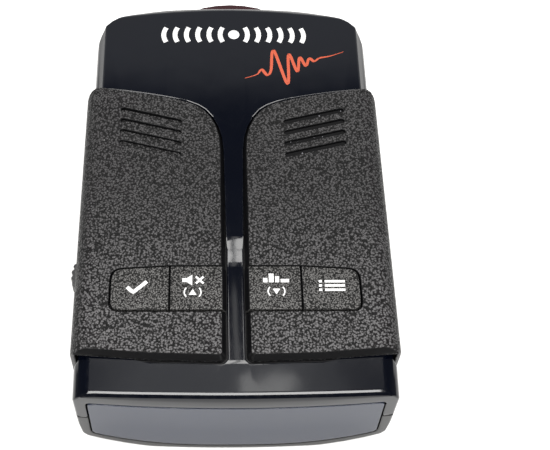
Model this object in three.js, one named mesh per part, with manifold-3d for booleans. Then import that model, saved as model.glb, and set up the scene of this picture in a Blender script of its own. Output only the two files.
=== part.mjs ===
// Windscreen radar detector: a gloss housing in two halves, two grained wings, four keys, a volume
// wheel, a display behind a smoked window, and the boards, horn, speaker and lenses that it needs inside.
// Millimetres. +X is the viewer's right at the display end, +Y runs to the rear (road) end, +Z is up.
// The origin is on the flat underside, on the centre plane.
import * as THREE from "three";
import { mergeVertices } from "three/addons/utils/BufferGeometryUtils.js";
import Module from "manifold-3d";

const wasm = await Module();
wasm.setup();

// ---------------------------------------------------------------- driving dimensions, mm
// Overall
const halfWidth = 36; // over the wings
const frontLength = 53.4; // origin to the foot of the display face
const rearLength = 54.4; // origin to the rear face
const lowerHigh = 14.5; // height of the lower half

// Walls and clearances
const wall = 1.8; // housing wall
const gap = 0.3; // between pieces that touch or nearly touch
const big = 80 + 2 * halfWidth; // for cutters that run right through

// Joint between the housing halves
const lipInset = 1.1; // a lip on the upper half closes the joint from inside
const lipDeep = 0.9;

// Stack above the joint
const wheelRoom = 6.5; // from the joint up to the main board
const boardThick = 1.6;
const keyRoom = 6.5; // from the main board up to the wing tops, at the front

// Display end
const bezelStep = 0.9; // the display end is this much wider than the sides beside the wings
const faceLean = 1.2; // the face's top is behind its foot
const faceBevel = 0.8; // the deck's front edge is behind the face's top
const faceFootBevel = 0.9;
const creaseDrop = 1.8; // height of the bevel between deck and display face
const frontDeckLength = 7.4; // deck in front of the wings
const frontDeckSlope = 0.142;
const frontArcR = 370; // bow of the display end
const frontCornerR = 1.6;

// Deck
const channelDepth = 2; // deck floor below the wing tops, at the front
const rampStart = 23; // the channel floor rises this far behind the wings' front
const rampLength = 7.5;
const rampTopDepth = 1.1; // deck below the wing tops, behind the ramp
const rearDeckSlope = 0.055;
const deckSide = 3.4; // bevel along the deck's sides at the display end
const deckRearSide = 2.2; // and beside the rear deck
const deckCrown = 0.9; // the deck falls this much towards its sides
const rearEdge = 1.2; // bevel along the rear edge of the deck
const rearArcR = 120; // bow of that bevel
const rearCurve = 11.4; // length of the curved part of the sides at the rear
const rearSquareness = 4.8; // exponent of the rear outline: 2 is an ellipse
const rearFootBevel = 2.6;

// Belly
const flatX = 9; // half width of the flat underside
const bellySide = 1.8; // from the end of the belly's curve to the widest point
const bellyRise = 4.8;
const bellyCornerHigh = 1.4;

// Wings
const wingRearBack = 25.8; // from the wings' rear corners to the rear face
const wingSlope = 0.03; // the wing tops rise to the rear
const wingThick = 2;
const wingSideWall = 1.4;
const wingInnerX = 2.2; // foot of the wall beside the channel
const wingChamfer = 1; // how far that wall leans back
const wingRearSlant = 4.6; // the rear edge comes forward this much towards the channel
const wingTurnX = 11; // where the rear edge turns into the inner edge
const wingTurnLength = 18.6; // length of that turn
const wingOuterR = 4.5; // rounding of the outer top edge
const wingCornerR = 2.6;
const wingFrontR = 1;

// Sound slots
const slotCount = 4;
const slotLength = 15.2;
const slotWidth = 1.2;
const slotPitch = 3.22;
const slotAngle = 0.253;
const slotSide = 16.2; // from the middle of the slots to the outer side
const slotBack = 8.7; // from the rearmost slot to the wings' rear corners
const blindSlotDepth = 0.8;

// Keys
const keyBack = 11.4; // from the wings' front to the keys
const keyLength = 10.7;
const keySplitX = 14.6; // middle of the gap between the two keys of a wing
const keySide = 8.5; // from the outer keys to the outer side
const keyThick = 1.5;
const keyProud = 0.15;
const keySlant = 0.6; // the outer keys' rear edge comes forward this much
const keyInnerOverhang = 0.25; // the inner keys reach this far over the channel
const keyRearCornerR = 3;
const keyFrontCornerR = 2.2;
const keyStemR = 1.7;
const keyTravel = 0.4;
const switchSide = 4.6;
const switchHigh = 1.8;
const plungerR = 1;

// Display
const windowSide = 2.8; // bezel beside the window
const windowBand = 2.75; // bezel above it
const windowFloor = 2.5; // bezel below it
const windowThick = 1.6;
const windowCornerR = 1.2;
const foamThick = 0.8;
const foamWide = 1.6;
const panelThick = 1.8;
const panelSide = 3.4; // from the panel's ends to the window opening's ends
const cableHalf = 7;
const cableThick = 0.35;

// Rear lens and bracket slot
const lensX = 10; // half width of the opening
const lensHigh = 7.3;
const lensRoof = 0.35; // from the lens flange to the inside of the deck
const lensProud = 3.8;
const lensArcR = 24;
const lensFlange = 0.6;
const lensFlangeSide = 1;
const slotHalf = 8; // half width of the bracket slot
const slotHigh = 4.4;
const slotDeep = 8;
const slotWall = 1.2;
const padSide = 3; // flat pad beside the slot
const padDepth = 0.5; // the pad is sunk this far below the rear face

// Main board
const boardMargin = 1.3; // from the board's edges to the walls
const boardFrontBack = 12.4; // from its front edge to the foot of the display face
const boardRearBack = 10.9; // from its rear edge to the rear face
const shieldWide = 18;
const shieldLength = 22;
const shieldHigh = 3;
const patchSide = 18;
const patchHigh = 4;

// Speaker
const speakerR = 11.4;
const speakerHigh = 4.8;
const speakerRim = 1.4;
const magnetR = 6.2;
const coneR = 9.2;
const meshThick = 0.4;

// Horn antenna
const hornMouthX = 22; // half width of the mouth
const hornBlockX = 9;
const hornFlareLength = 33.9;
const hornBlockLength = 12;
const hornUnderJoint = 0.5; // the mouth's top stays this far below the housing joint
const hornWall = 1.4;
const hornGuideX = 5;
const hornGuideHigh = 4;
const hornScrewX = 5;

// Volume wheel
const wheelR = 8.3;
const wheelProud = 1.9; // beyond the wing's side
const wheelBack = 26; // from the wings' front to the wheel's axis
const wheelHigh = 3;
const wheelTeeth = 30;
const toothDepth = 0.4;
const wheelHubWall = 1;
const wheelRim = 3.6; // the hollow for the control leaves this much rim
const potShaftR = 1;

// Sockets in the right-hand side
const jackBack = 28; // from the wings' front to the power socket
const jackBoreR = 1.8;
const jackSide = 7.2;
const jackLength = 9.5;
const plugClearance = 0.5; // round what is plugged in, where it passes the walls
const usbBack = 41; // from the wings' front to the data socket
const usbWide = 7.6;
const usbHigh = 2.9;
const usbLength = 8.3;
const usbSheet = 0.4;
const socketDrop = 3; // socket axes below the main board

// Screws
const caseScrewSide = 8.4; // from the outer side
const caseScrewFrontBack = 15.8; // from the foot of the display face
const caseScrewRearBack = 16.9; // from the rear face
const caseScrewR = 1.25;
const caseHeadR = 2.5;
const pillarWall = 1.45;
const seatZ = 7; // the case screws' heads bear here
const boardScrewX = 24;
const boardScrewBack = 34; // from the wings' front
const smallScrewR = 1;
const smallHeadR = 1.9;
const headHigh = 1.4;

// Label
const labelX = 8;
const labelLength = 36;
const labelBack = 9.4; // from its front edge to the foot of the display face
const labelThick = 0.2;
const labelSunk = 0.1;

// ---------------------------------------------------------------- derived places
const partingZ = lowerHigh;
const wingOuterX = halfWidth;
const housingX = halfWidth - wingSideWall - gap; // half width beside the wings and at the rear
const bezelX = housingX + bezelStep; // half width of the display end and of the lower half
const deckEdgeX = bezelX - deckSide;
const bellyX = bezelX - bellySide;
const bellyCornerZ = bellyRise + bellyCornerHigh;
const faceFootY = -frontLength;
const faceTopY = faceFootY + faceLean;
const creaseY = faceTopY + faceBevel;
const rearY = rearLength;
const rearCornerY = rearY - rearCurve;
const wingFrontY = creaseY + frontDeckLength;
const wingRearY = rearY - wingRearBack;
const rampFootY = wingFrontY + rampStart;
const rampTopY = rampFootY + rampLength;

const boardFootZ = partingZ + wheelRoom;
const boardTopZ = boardFootZ + boardThick;
const wingFrontZ = boardTopZ + keyRoom;
const wingTop = (y) => wingFrontZ + wingSlope * (y - wingFrontY);
const channelZ = (y) => wingTop(y) - channelDepth;
const rearDeckZ = (y) => wingTop(rampTopY) - rampTopDepth + rearDeckSlope * (y - rampTopY);
const frontDeckZ = (y) => channelZ(wingFrontY) + frontDeckSlope * (y - wingFrontY);
const creaseZ = frontDeckZ(creaseY);
const faceTopZ = creaseZ - creaseDrop;
const pocketZ = (y) => wingTop(y) - wingThick - gap; // floor of the pockets that hold the wings
const roofZ = (y) => pocketZ(y) - wall;
const innerRoofZ = (y) => (y > wingRearY + 3 ? rearDeckZ(y) - wall : roofZ(y));
const bellyZ = (x) => bellyRise * (Math.max(0, Math.abs(x) - flatX) / (bellyX - flatX)) ** 2;

const keyFrontY = wingFrontY + keyBack;
const keyRearY = keyFrontY + keyLength;
const keyMidY = (keyFrontY + keyRearY) / 2;
const keyOuterX = halfWidth - keySide;
const slotX = halfWidth - slotSide;
const slotRearY = wingRearY - slotBack;
const slotMidY = slotRearY - (slotPitch * (slotCount - 1)) / 2;
const windowX = bezelX - windowSide; // half width of the window opening
const windowTopZ = faceTopZ - windowBand;
const lensTopZ = rearDeckZ(rearY) - wall - lensFlange - lensRoof;
const lensFootZ = lensTopZ - lensHigh;
const bracketFootZ = partingZ + gap + slotWall;

// ---------------------------------------------------------------- solids from three.js geometry
function solid(geometry) {
  const loose = geometry.index ? geometry.toNonIndexed() : geometry;
  const bare = new THREE.BufferGeometry().setAttribute("position", loose.getAttribute("position"));
  const merged = mergeVertices(bare, 1e-4);
  return new wasm.Manifold(
    new wasm.Mesh({
      numProp: 3,
      vertProperties: merged.attributes.position.array,
      triVerts: new Uint32Array(merged.index.array),
    }),
  );
}

const outline = (points) => new THREE.Shape(points.map(([u, v]) => new THREE.Vector2(u, v)));

function extrude(shape, depth, options = {}) {
  return new THREE.ExtrudeGeometry(shape, { depth, bevelEnabled: false, curveSegments: 6, ...options });
}

// A shape in (x, y), from z0 up to z1.
const prismZ = (shape, z0, z1, options) => extrude(shape, z1 - z0, options).translate(0, 0, z0);

// A shape in (y, z), from x0 to x1.
function prismX(shape, x0, x1, options) {
  const turn = new THREE.Matrix4().makeBasis(
    new THREE.Vector3(0, 1, 0),
    new THREE.Vector3(0, 0, 1),
    new THREE.Vector3(1, 0, 0),
  );
  return extrude(shape, x1 - x0, options).applyMatrix4(turn).translate(x0, 0, 0);
}

// A shape in (x, z), from y0 to y1.
function prismY(shape, y0, y1, options) {
  const turn = new THREE.Matrix4().makeBasis(
    new THREE.Vector3(1, 0, 0),
    new THREE.Vector3(0, 0, 1),
    new THREE.Vector3(0, -1, 0),
  );
  return extrude(shape, y1 - y0, options).applyMatrix4(turn).translate(0, y1, 0);
}

// Tilts a geometry so that a level line at y0 rises by slope towards the rear.
function rise(geometry, slope, y0) {
  return geometry.applyMatrix4(new THREE.Matrix4().makeShear(0, 0, 0, slope, 0, 0)).translate(0, 0, -slope * y0);
}

function box(x0, x1, y0, y1, z0, z1) {
  const middle = [(x0 + x1) / 2, (y0 + y1) / 2, (z0 + z1) / 2];
  return solid(new THREE.BoxGeometry(x1 - x0, y1 - y0, z1 - z0).translate(...middle));
}

// A cylinder about a vertical axis.
function post(x, y, r, z0, z1, sides = 20) {
  const g = new THREE.CylinderGeometry(r, r, z1 - z0, sides).rotateX(Math.PI / 2);
  return solid(g.translate(x, y, (z0 + z1) / 2));
}

// A cylinder along X.
function barX(y, z, r, x0, x1, sides = 20) {
  const g = new THREE.CylinderGeometry(r, r, x1 - x0, sides).rotateZ(Math.PI / 2);
  return solid(g.translate((x0 + x1) / 2, y, z));
}

// A cylinder along Y.
function barY(x, z, r, y0, y1, sides = 20) {
  return solid(new THREE.CylinderGeometry(r, r, y1 - y0, sides).translate(x, (y0 + y1) / 2, z));
}

// A body of revolution about a vertical axis, from a closed profile of [radius, height].
function lathe(profile, x, y, sides = 32) {
  const g = new THREE.LatheGeometry(profile.map(([r, z]) => new THREE.Vector2(r, z)), sides);
  return solid(g.rotateX(Math.PI / 2).translate(x, y, 0));
}

// A block whose two ends along Y are rectangles of different sizes: { x, z0, z1 } at each end.
function taperedBlock(y0, near, y1, far) {
  const g = new THREE.BoxGeometry(2, 2, 2);
  const p = g.attributes.position;
  for (let i = 0; i < p.count; i += 1) {
    const end = p.getY(i) < 0 ? near : far;
    p.setXYZ(i, p.getX(i) * end.x, p.getY(i) < 0 ? y0 : y1, p.getZ(i) < 0 ? end.z0 : end.z1);
  }
  return solid(g);
}

const cut = (from, ...tools) => tools.reduce((left, tool) => left.subtract(tool), from);
const join = (first, ...others) => others.reduce((all, other) => all.add(other), first);
const mirrored = (made) => made.mirror([1, 0, 0]);

function arc(cx, cy, r, from, to, steps) {
  const points = [];
  for (let i = 0; i <= steps; i += 1) {
    const a = from + ((to - from) * i) / steps;
    points.push([cx + r * Math.cos(a), cy + r * Math.sin(a)]);
  }
  return points;
}

// ---------------------------------------------------------------- housing form
// The floor of the channel between the wings, on the centre plane.
function channelLine() {
  const line = [
    [wingFrontY, channelZ(wingFrontY)],
    [rampFootY, channelZ(rampFootY)],
  ];
  const steps = 5;
  for (let i = 1; i <= steps; i += 1) {
    const t = i / steps;
    const y = rampFootY + rampLength * t;
    const blend = t * t * (3 - 2 * t);
    line.push([y, channelZ(y) * (1 - blend) + rearDeckZ(y) * blend]);
  }
  return line;
}

// The side view, moved in by an inset. Inside the housing the roof also clears the wing pockets.
function sideView(inset) {
  const roof = inset
    ? [
        [creaseY + inset, creaseZ - inset],
        [wingFrontY - gap, pocketZ(wingFrontY) - inset],
        [wingRearY + gap + 1, pocketZ(wingRearY) - inset],
        [wingRearY + gap + 3, rearDeckZ(wingRearY) - inset],
        [rearY - rearEdge - inset, rearDeckZ(rearY) - inset],
      ]
    : [
        [creaseY, creaseZ],
        [creaseY + 0.6, creaseZ + 4],
        [rearY - rearEdge - 0.6, rearDeckZ(rearY) + 4],
        [rearY - rearEdge, rearDeckZ(rearY - rearEdge)],
      ];
  return outline([
    [faceFootY + inset + faceFootBevel, inset],
    [faceFootY + inset, faceFootBevel + inset],
    [faceTopY + inset, faceTopZ - inset],
    ...roof,
    [rearY + 1 - inset, rearDeckZ(rearY) - rearEdge - inset],
    [rearY + 1 - inset, rearFootBevel + inset],
    [rearY - rearFootBevel - inset, inset],
  ]);
}

// Bows a block that was extruded across X: forward at the display end, back at the rear end.
function bow(geometry) {
  const p = geometry.attributes.position;
  for (let i = 0; i < p.count; i += 1) {
    const x = p.getX(i);
    const y = p.getY(i);
    const share = (y - faceFootY) / (rearY - faceFootY);
    const bend = (1 - share) / (2 * frontArcR) - share / (2 * rearArcR);
    p.setY(i, y + bend * x * x);
  }
  return geometry;
}

// A level slab between two outlines, bowed with the ends of the housing.
const bowedPrism = (shape) => solid(bow(prismX(shape, -bezelX - 5, bezelX + 5, { steps: 16 })));

// Seen from above. The lower half and the display end are wider than the part beside the wings.
function planView(inset, waistX) {
  const frontSag = bezelX ** 2 / (2 * frontArcR);
  const right = [
    [bezelX - frontCornerR - inset, faceFootY - 1],
    [bezelX - inset, faceFootY + frontSag + frontCornerR],
    [bezelX - inset, wingFrontY + frontSag - 1],
    [waistX - inset, wingFrontY + frontSag - 0.3],
  ];
  for (const share of [1, 0.995, 0.975, 0.94, 0.89, 0.82, 0.74, 0.64, 0.5, 0.25]) {
    const deep = rearCurve * Math.sqrt(1 - share ** rearSquareness);
    right.push([(housingX - inset) * share, rearCornerY - inset + deep]);
  }
  const left = [...right].reverse().map(([x, y]) => [-x, y]);
  return outline([...right, ...left]);
}

// Seen from the front: the belly, the lower corners and the upright sides.
function bellyView(inset) {
  const right = [[flatX, inset]];
  const steps = 6;
  for (let i = 1; i <= steps; i += 1) {
    const x = flatX + ((bellyX - flatX) * i) / steps;
    right.push([x - inset * 0.4, bellyZ(x) + inset]);
  }
  right.push([bellyX + 1 - inset, bellyCornerZ + inset * 0.4]);
  right.push([bezelX - inset, partingZ]);
  right.push([bezelX - inset, big]);
  const left = [...right].reverse().map(([x, z]) => [-x, z]);
  return outline([...right, ...left]);
}

// The deck's crown and its edges, seen from the front, with the deck at height 0.
function deckView(halfWide, flatHalf) {
  const right = [
    [halfWide, -big],
    [halfWide, -4],
    [halfWide - 0.4, -3],
    [halfWide - 1.4, -2],
    [flatHalf, -deckCrown],
  ];
  for (const share of [0.85, 0.7, 0.5, 0.3, 0.1]) {
    right.push([flatHalf * share, -deckCrown * Math.max(0, (share - 0.1) / 0.9) ** 2]);
  }
  const left = [...right].reverse().map(([x, z]) => [-x, z]);
  return outline([...right, ...left]);
}

// The whole housing as one solid, moved in by an inset: 0 is the outside, wall is the cavity.
function housingForm(inset, waistX) {
  const side = bowedPrism(sideView(inset));
  const plan = solid(prismZ(planView(inset, waistX), -1, big));
  const belly = solid(prismY(bellyView(inset), -big, big));
  return side.intersect(plan).intersect(belly);
}

// Everything below the deck: its sloping front, the channel and the long rear part.
function belowDeck() {
  const line = channelLine();
  const underWings = wingFrontY + 3;
  const floor = outline([
    [rampTopY + 1, -big],
    [rampTopY + 1, rearDeckZ(rampTopY) - 1],
    ...[...line].reverse(),
    [wingFrontY - 1, channelZ(wingFrontY) - 1],
    [wingFrontY - 1, -big],
  ]);
  const channel = solid(prismX(floor, -big, big));
  const sides = box(wingInnerX + 0.8, big, -big, underWings, -big, big);
  const front = prismY(deckView(bezelX, deckEdgeX), -big, underWings + 0.5).translate(0, 0, creaseZ);
  const behind = box(-wingInnerX - 0.5, wingInnerX + 0.5, wingFrontY, big, -big, big);
  const slope = cut(solid(rise(front, frontDeckSlope, creaseY)), behind);
  const rearView = deckView(housingX, housingX - deckRearSide);
  const rear = prismY(rearView, rampTopY, big).translate(0, 0, rearDeckZ(0));
  return join(cut(channel, sides, mirrored(sides)), slope, solid(rise(rear, rearDeckSlope, 0)));
}

const outside = (waistX) => housingForm(0, waistX).intersect(belowDeck());
const cavity = housingForm(wall, housingX);

// ---------------------------------------------------------------- wings
// The wing seen from above, right-hand side. grow moves its rear and outer edges out.
function wingPlan(inner, grow, front = wingFrontY) {
  const frontAt = (x) => front + (x * x) / (2 * frontArcR);
  const outer = wingOuterX + grow;
  const rear = wingRearY + grow;
  const turnEndY = wingRearY - wingTurnLength;
  const shape = new THREE.Shape();
  shape.moveTo(inner + wingFrontR, frontAt(inner));
  shape.lineTo(outer / 2, frontAt(outer / 2));
  shape.lineTo(outer - wingFrontR, frontAt(outer));
  shape.lineTo(outer, frontAt(outer) + wingFrontR);
  shape.lineTo(outer, rear - wingCornerR);
  shape.quadraticCurveTo(outer, rear, outer - wingCornerR, rear);
  shape.quadraticCurveTo(outer / 2, rear - wingRearSlant / 2, wingTurnX, rear - wingRearSlant);
  shape.bezierCurveTo(wingTurnX / 2, rear - wingRearSlant - 2, inner, turnEndY + 8, inner, turnEndY);
  shape.lineTo(inner, frontAt(inner) + wingFrontR);
  return shape;
}

// A wing-shaped block whose inner and front walls lean back, with its top lift above the wing tops.
function leaningBlock(inner, front, lift, grow = 0) {
  const lean = {
    bevelEnabled: true,
    bevelSize: wingChamfer,
    bevelOffset: -wingChamfer,
    bevelThickness: wingThick - gap,
    bevelSegments: 1,
  };
  const low = partingZ - 6;
  const high = wingTop(0) + lift - 2 * lean.bevelThickness;
  const block = prismZ(wingPlan(inner, wingChamfer + 0.2 + grow, front), low, high, lean);
  return solid(rise(block.translate(0, 0, lean.bevelThickness), wingSlope, 0));
}

// A level block from z = -big up to a plane that lies below the wing tops by drop.
function belowWings(x0, x1, drop) {
  const view = outline([
    [x0, -big],
    [x1, -big],
    [x1, big],
    [x0, big],
  ]);
  return solid(rise(prismZ(view, -big, wingTop(0) - drop), wingSlope, 0));
}

// The rounding of the outer top edge, along the whole wing.
function wingOuterRound() {
  const top = wingTop(0);
  const view = outline([
    [-1, -big],
    [wingOuterX, -big],
    ...arc(wingOuterX - wingOuterR, top - wingOuterR, wingOuterR, 0, Math.PI / 2, 6),
    [-1, top],
  ]);
  return solid(rise(prismY(view, -big, big), wingSlope, 0));
}

function wingBlank() {
  const skirt = solid(prismZ(wingPlan(wingInnerX, 0), partingZ + gap, big));
  const body = leaningBlock(wingInnerX, wingFrontY, 0).intersect(skirt).intersect(wingOuterRound());
  return cut(body, belowWings(-1, wingOuterX - wingSideWall, wingThick));
}

// One sound slot, as a round-ended prism.
function slotCutter(index, z0) {
  const half = (slotLength - slotWidth) / 2;
  const r = slotWidth / 2;
  const rightEnd = arc(half, 0, r, -Math.PI / 2, Math.PI / 2, 5);
  const leftEnd = arc(-half, 0, r, Math.PI / 2, 1.5 * Math.PI, 5);
  const y = slotRearY - slotPitch * index;
  const prism = prismZ(outline([...rightEnd, ...leftEnd]), z0, big);
  return solid(prism.rotateZ(slotAngle).translate(slotX, y, 0));
}

// ---------------------------------------------------------------- keys
// Seen from above, right-hand side. grow 0 is the key itself, gap is the hole in the wing.
function keyPlan(outerKey, grow) {
  const inner = outerKey ? keySplitX + gap / 2 : wingInnerX - keyInnerOverhang;
  const outer = outerKey ? keyOuterX : keySplitX - gap / 2;
  const rearR = outerKey ? keyRearCornerR : 0.3;
  const frontR = outerKey ? keyFrontCornerR : 0.3;
  const slant = outerKey ? keySlant : 0;
  const [x0, x1, y0, y1] = [inner - grow, outer + grow, keyFrontY - grow, keyRearY + grow];
  const shape = new THREE.Shape();
  shape.moveTo(x0, y0);
  shape.lineTo(x1 - frontR, y0);
  shape.quadraticCurveTo(x1, y0, x1, y0 + frontR);
  shape.lineTo(x1, y1 - rearR - slant);
  shape.quadraticCurveTo(x1, y1 - slant, x1 - rearR, y1 - slant);
  shape.lineTo(x0, y1);
  return shape;
}

const keyHole = () =>
  join(solid(prismZ(keyPlan(false, gap), partingZ, big)), solid(prismZ(keyPlan(true, gap), partingZ, big)));

const keyStemX = (outerKey) => (outerKey ? (keySplitX + keyOuterX) / 2 : (wingInnerX + keySplitX) / 2);
const plungerTopZ = boardTopZ + switchHigh + keyTravel + 0.1;
const stemFootZ = plungerTopZ + gap;

function key(outerKey) {
  const lean = leaningBlock(wingInnerX - keyInnerOverhang, wingFrontY, keyProud);
  const blank = solid(prismZ(keyPlan(outerKey, 0), partingZ, big)).intersect(lean);
  const cap = cut(blank, belowWings(-big, big, keyThick));
  return join(cap, post(keyStemX(outerKey), keyMidY, keyStemR, stemFootZ, wingTop(keyMidY) - keyThick + 0.4, 16));
}

// ---------------------------------------------------------------- display window and lens
// The window seen from the front. grow moves its edges out.
function windowView(grow) {
  const x = windowX + grow;
  const top = windowTopZ + grow;
  const r = windowCornerR;
  const footZ = (at) => 0.9 * bellyZ(at) + windowFloor - grow;
  const shares = [0.28, 0.46, 0.64, 0.8, 0.93];
  const shape = new THREE.Shape();
  shape.moveTo(0, footZ(0));
  shares.forEach((share) => shape.lineTo(x * share, footZ(x * share)));
  shape.lineTo(x - 0.5, footZ(x));
  shape.lineTo(x, footZ(x) + 0.8);
  shape.lineTo(x, top - r);
  shape.quadraticCurveTo(x, top, x - r, top);
  shape.lineTo(r - x, top);
  shape.quadraticCurveTo(-x, top, -x, top - r);
  shape.lineTo(-x, footZ(x) + 0.8);
  shape.lineTo(0.5 - x, footZ(x));
  [...shares].reverse().forEach((share) => shape.lineTo(-x * share, footZ(x * share)));
  return shape;
}

// The slab between two surfaces that follow the display face, front and back mm behind it.
function faceSlab(front, back) {
  const lean = (faceTopY - faceFootY) / (faceTopZ - faceFootBevel);
  const at = (depth, z) => [faceFootY + depth + lean * (z - faceFootBevel), z];
  return bowedPrism(outline([at(front, -1), at(front, big / 2), at(back, big / 2), at(back, -1)]));
}

const windowCutter = () => solid(prismY(windowView(0), -big, faceFootY + 13));
const displayWindow = () => faceSlab(0, windowThick).intersect(solid(prismY(windowView(-gap), -big, 0)));

// The flange stands where the rear wall is still straight enough to clear its ends.
const flangeY = rearY - wall - 1.1;

function laserLens() {
  const x = lensX - gap;
  const reach = rearY + lensProud;
  const face = arc(0, reach - lensArcR, lensArcR, 0.5, Math.PI - 0.5, 14).filter(([at]) => Math.abs(at) < x);
  const sideY = reach - lensArcR + Math.sqrt(lensArcR ** 2 - x ** 2) - 0.4;
  const plan = outline([[x, flangeY - 0.3], [x, sideY], ...face, [-x, sideY], [-x, flangeY - 0.3]]);
  const dome = solid(prismZ(plan, lensFootZ + gap, lensTopZ - gap));
  const [x1, z0, z1] = [lensX + lensFlangeSide, lensFootZ - lensFlange, lensTopZ + lensFlange];
  return join(dome, box(-x1, x1, flangeY - 1, flangeY, z0, z1));
}

// ---------------------------------------------------------------- wheel and sockets: places and openings
const wheelX = wheelR - wingOuterX - wheelProud;
const wheelY = wingFrontY + wheelBack;
const wheelFootZ = (partingZ + boardFootZ - wheelHigh) / 2 - 0.25;
const wheelTopZ = wheelFootZ + wheelHigh;
const potR = wheelR - wheelRim - 0.5;
const socketZ = boardFootZ - socketDrop;
const jackY = wingFrontY + jackBack;
const usbY = wingFrontY + usbBack;
const innerSideX = housingX - wall;
const potNeckR = innerSideX + wheelX - gap; // the control's neck clears the side wall

const wheelAccess = () => post(wheelX, wheelY, wheelR + 0.5, wheelFootZ - 0.5, wheelTopZ + 0.5, 40);
const jackAccess = () => barX(jackY, socketZ, jackBoreR + plugClearance, innerSideX - 1, big);

function usbAccess() {
  const [halfY, halfZ] = [usbWide / 2 + plugClearance, usbHigh / 2 + plugClearance];
  return box(innerSideX - 1, big, usbY - halfY, usbY + halfY, socketZ - halfZ, socketZ + halfZ);
}

// ---------------------------------------------------------------- screws and speaker: places
const caseScrewX = halfWidth - caseScrewSide;
const caseScrews = [
  ["front_left", -caseScrewX, faceFootY + caseScrewFrontBack],
  ["front_right", caseScrewX, faceFootY + caseScrewFrontBack],
  ["rear_left", -caseScrewX, rearY - caseScrewRearBack],
  ["rear_right", caseScrewX, rearY - caseScrewRearBack],
];
const boardScrewY = wingFrontY + boardScrewBack;
const boardScrews = [
  ["left", -boardScrewX, boardScrewY],
  ["right", boardScrewX, boardScrewY],
];
const pillarR = caseScrewR + gap + pillarWall;
const speakerX = slotX;
const speakerY = slotMidY + 0.5;

// ---------------------------------------------------------------- housing halves
function upperHousing() {
  const shell = outside(housingX).intersect(box(-big, big, -big, big, partingZ + gap, big));
  const lipSlice = box(-big, big, -big, big, partingZ - lipDeep, partingZ + 1);
  let made = cut(join(shell, housingForm(lipInset, housingX).intersect(lipSlice)), cavity);
  for (const [, x, y] of caseScrews) {
    made = join(made, post(x, y, pillarR, partingZ + gap, innerRoofZ(y) + 0.5));
  }
  for (const [, x, y] of boardScrews) {
    made = join(made, post(x, y, smallScrewR + 2 * gap + 0.7, boardTopZ + gap, roofZ(y) + 0.5));
  }
  const slotX1 = slotHalf + slotWall;
  const slotTopZ = bracketFootZ + slotHigh;
  made = join(made, box(-slotX1, slotX1, rearY - slotDeep - slotWall, rearY - 1, partingZ + gap, slotTopZ + slotWall));

  const plan = solid(prismZ(wingPlan(wingInnerX - gap, gap, wingFrontY - gap), -1, big));
  const leaning = leaningBlock(wingInnerX - gap, wingFrontY - gap, 0.2, gap);
  const pocket = cut(plan.intersect(leaning), belowWings(-big, big, wingThick + gap));
  made = cut(made, pocket, mirrored(pocket));
  for (const outerKey of [false, true]) {
    const stemHole = post(keyStemX(outerKey), keyMidY, keyStemR + 2 * gap, boardTopZ, big);
    made = cut(made, stemHole, mirrored(stemHole));
  }
  const grille = grilleHalf + gap;
  made = cut(
    made,
    box(slotX - grille, slotX + grille, slotMidY - grille, slotMidY + grille, roofZ(slotMidY) - 2, big),
    windowCutter(),
    jackAccess(),
    usbAccess(),
    wheelAccess(),
    box(-lensX, lensX, flangeY - 2, big, lensFootZ, lensTopZ),
    box(-slotHalf - padSide, slotHalf + padSide, rearY - padDepth, big, partingZ, lensFootZ - lensFlange),
    box(-slotHalf, slotHalf, rearY - slotDeep, big, bracketFootZ, slotTopZ),
  );
  for (const [, x, y] of caseScrews) {
    made = cut(made, post(x, y, caseScrewR + gap, partingZ - 1, innerRoofZ(y) - 2));
  }
  for (const [, x, y] of boardScrews) {
    made = cut(made, post(x, y, smallScrewR + gap, boardTopZ - 1, roofZ(y) - 0.3));
  }
  return made;
}

const labelFrontY = faceFootY + labelBack;
const labelBox = (grow, z0, z1) =>
  box(-labelX - grow, labelX + grow, labelFrontY - grow, labelFrontY + labelLength + grow, z0, z1);
const ratingLabel = () => labelBox(0, labelSunk, labelSunk + labelThick);

function lowerHousing() {
  const shell = outside(bezelX).intersect(box(-big, big, -big, big, -1, partingZ));
  const rebateSlice = box(-big, big, -big, big, partingZ - lipDeep - gap, big);
  let made = cut(shell, cavity, housingForm(lipInset - gap, housingX).intersect(rebateSlice));
  for (const [, x, y] of caseScrews) {
    made = join(made, post(x, y, caseHeadR + gap + 0.8, 0, partingZ).intersect(shell));
  }
  for (const [, x, y] of caseScrews) {
    made = cut(made, post(x, y, caseHeadR + gap, -1, seatZ), post(x, y, caseScrewR + gap, 0, big));
  }
  return cut(made, labelBox(gap, -1, labelSunk + labelThick + 0.1), windowCutter(), wheelAccess());
}

// ---------------------------------------------------------------- main board and what stands on it
const boardX = innerSideX - boardMargin;
const boardFrontY = faceFootY + boardFrontBack;
const boardRearY = rearY - boardRearBack;
const hornTopZ = boardFootZ - gap;
const hornMouthY = rearY - wall - 2.6;
const hornThroatY = hornMouthY - hornFlareLength;
const hornScrewY = hornThroatY - hornBlockLength / 2;

function mainBoard() {
  let made = box(-boardX, boardX, boardFrontY, boardRearY, boardFootZ, boardTopZ);
  const notch = pillarR + 2 * gap;
  for (const [, x, y] of caseScrews) {
    const [x0, x1] = x > 0 ? [x, big] : [-big, x];
    made = cut(made, post(x, y, notch, 0, big), box(x0, x1, y - notch, y + notch, 0, big));
  }
  for (const [, x, y] of boardScrews) {
    made = cut(made, post(x, y, smallScrewR + gap, 0, big));
  }
  for (const x of [-hornScrewX, hornScrewX]) {
    made = cut(made, post(x, hornScrewY, smallScrewR + gap, 0, big));
  }
  const open = speakerR + 1;
  const edge = box(speakerX, big, speakerY - open * 0.56, speakerY + open * 0.56, 0, big);
  return cut(made, post(speakerX, speakerY, open, 0, big, 36), edge);
}

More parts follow.
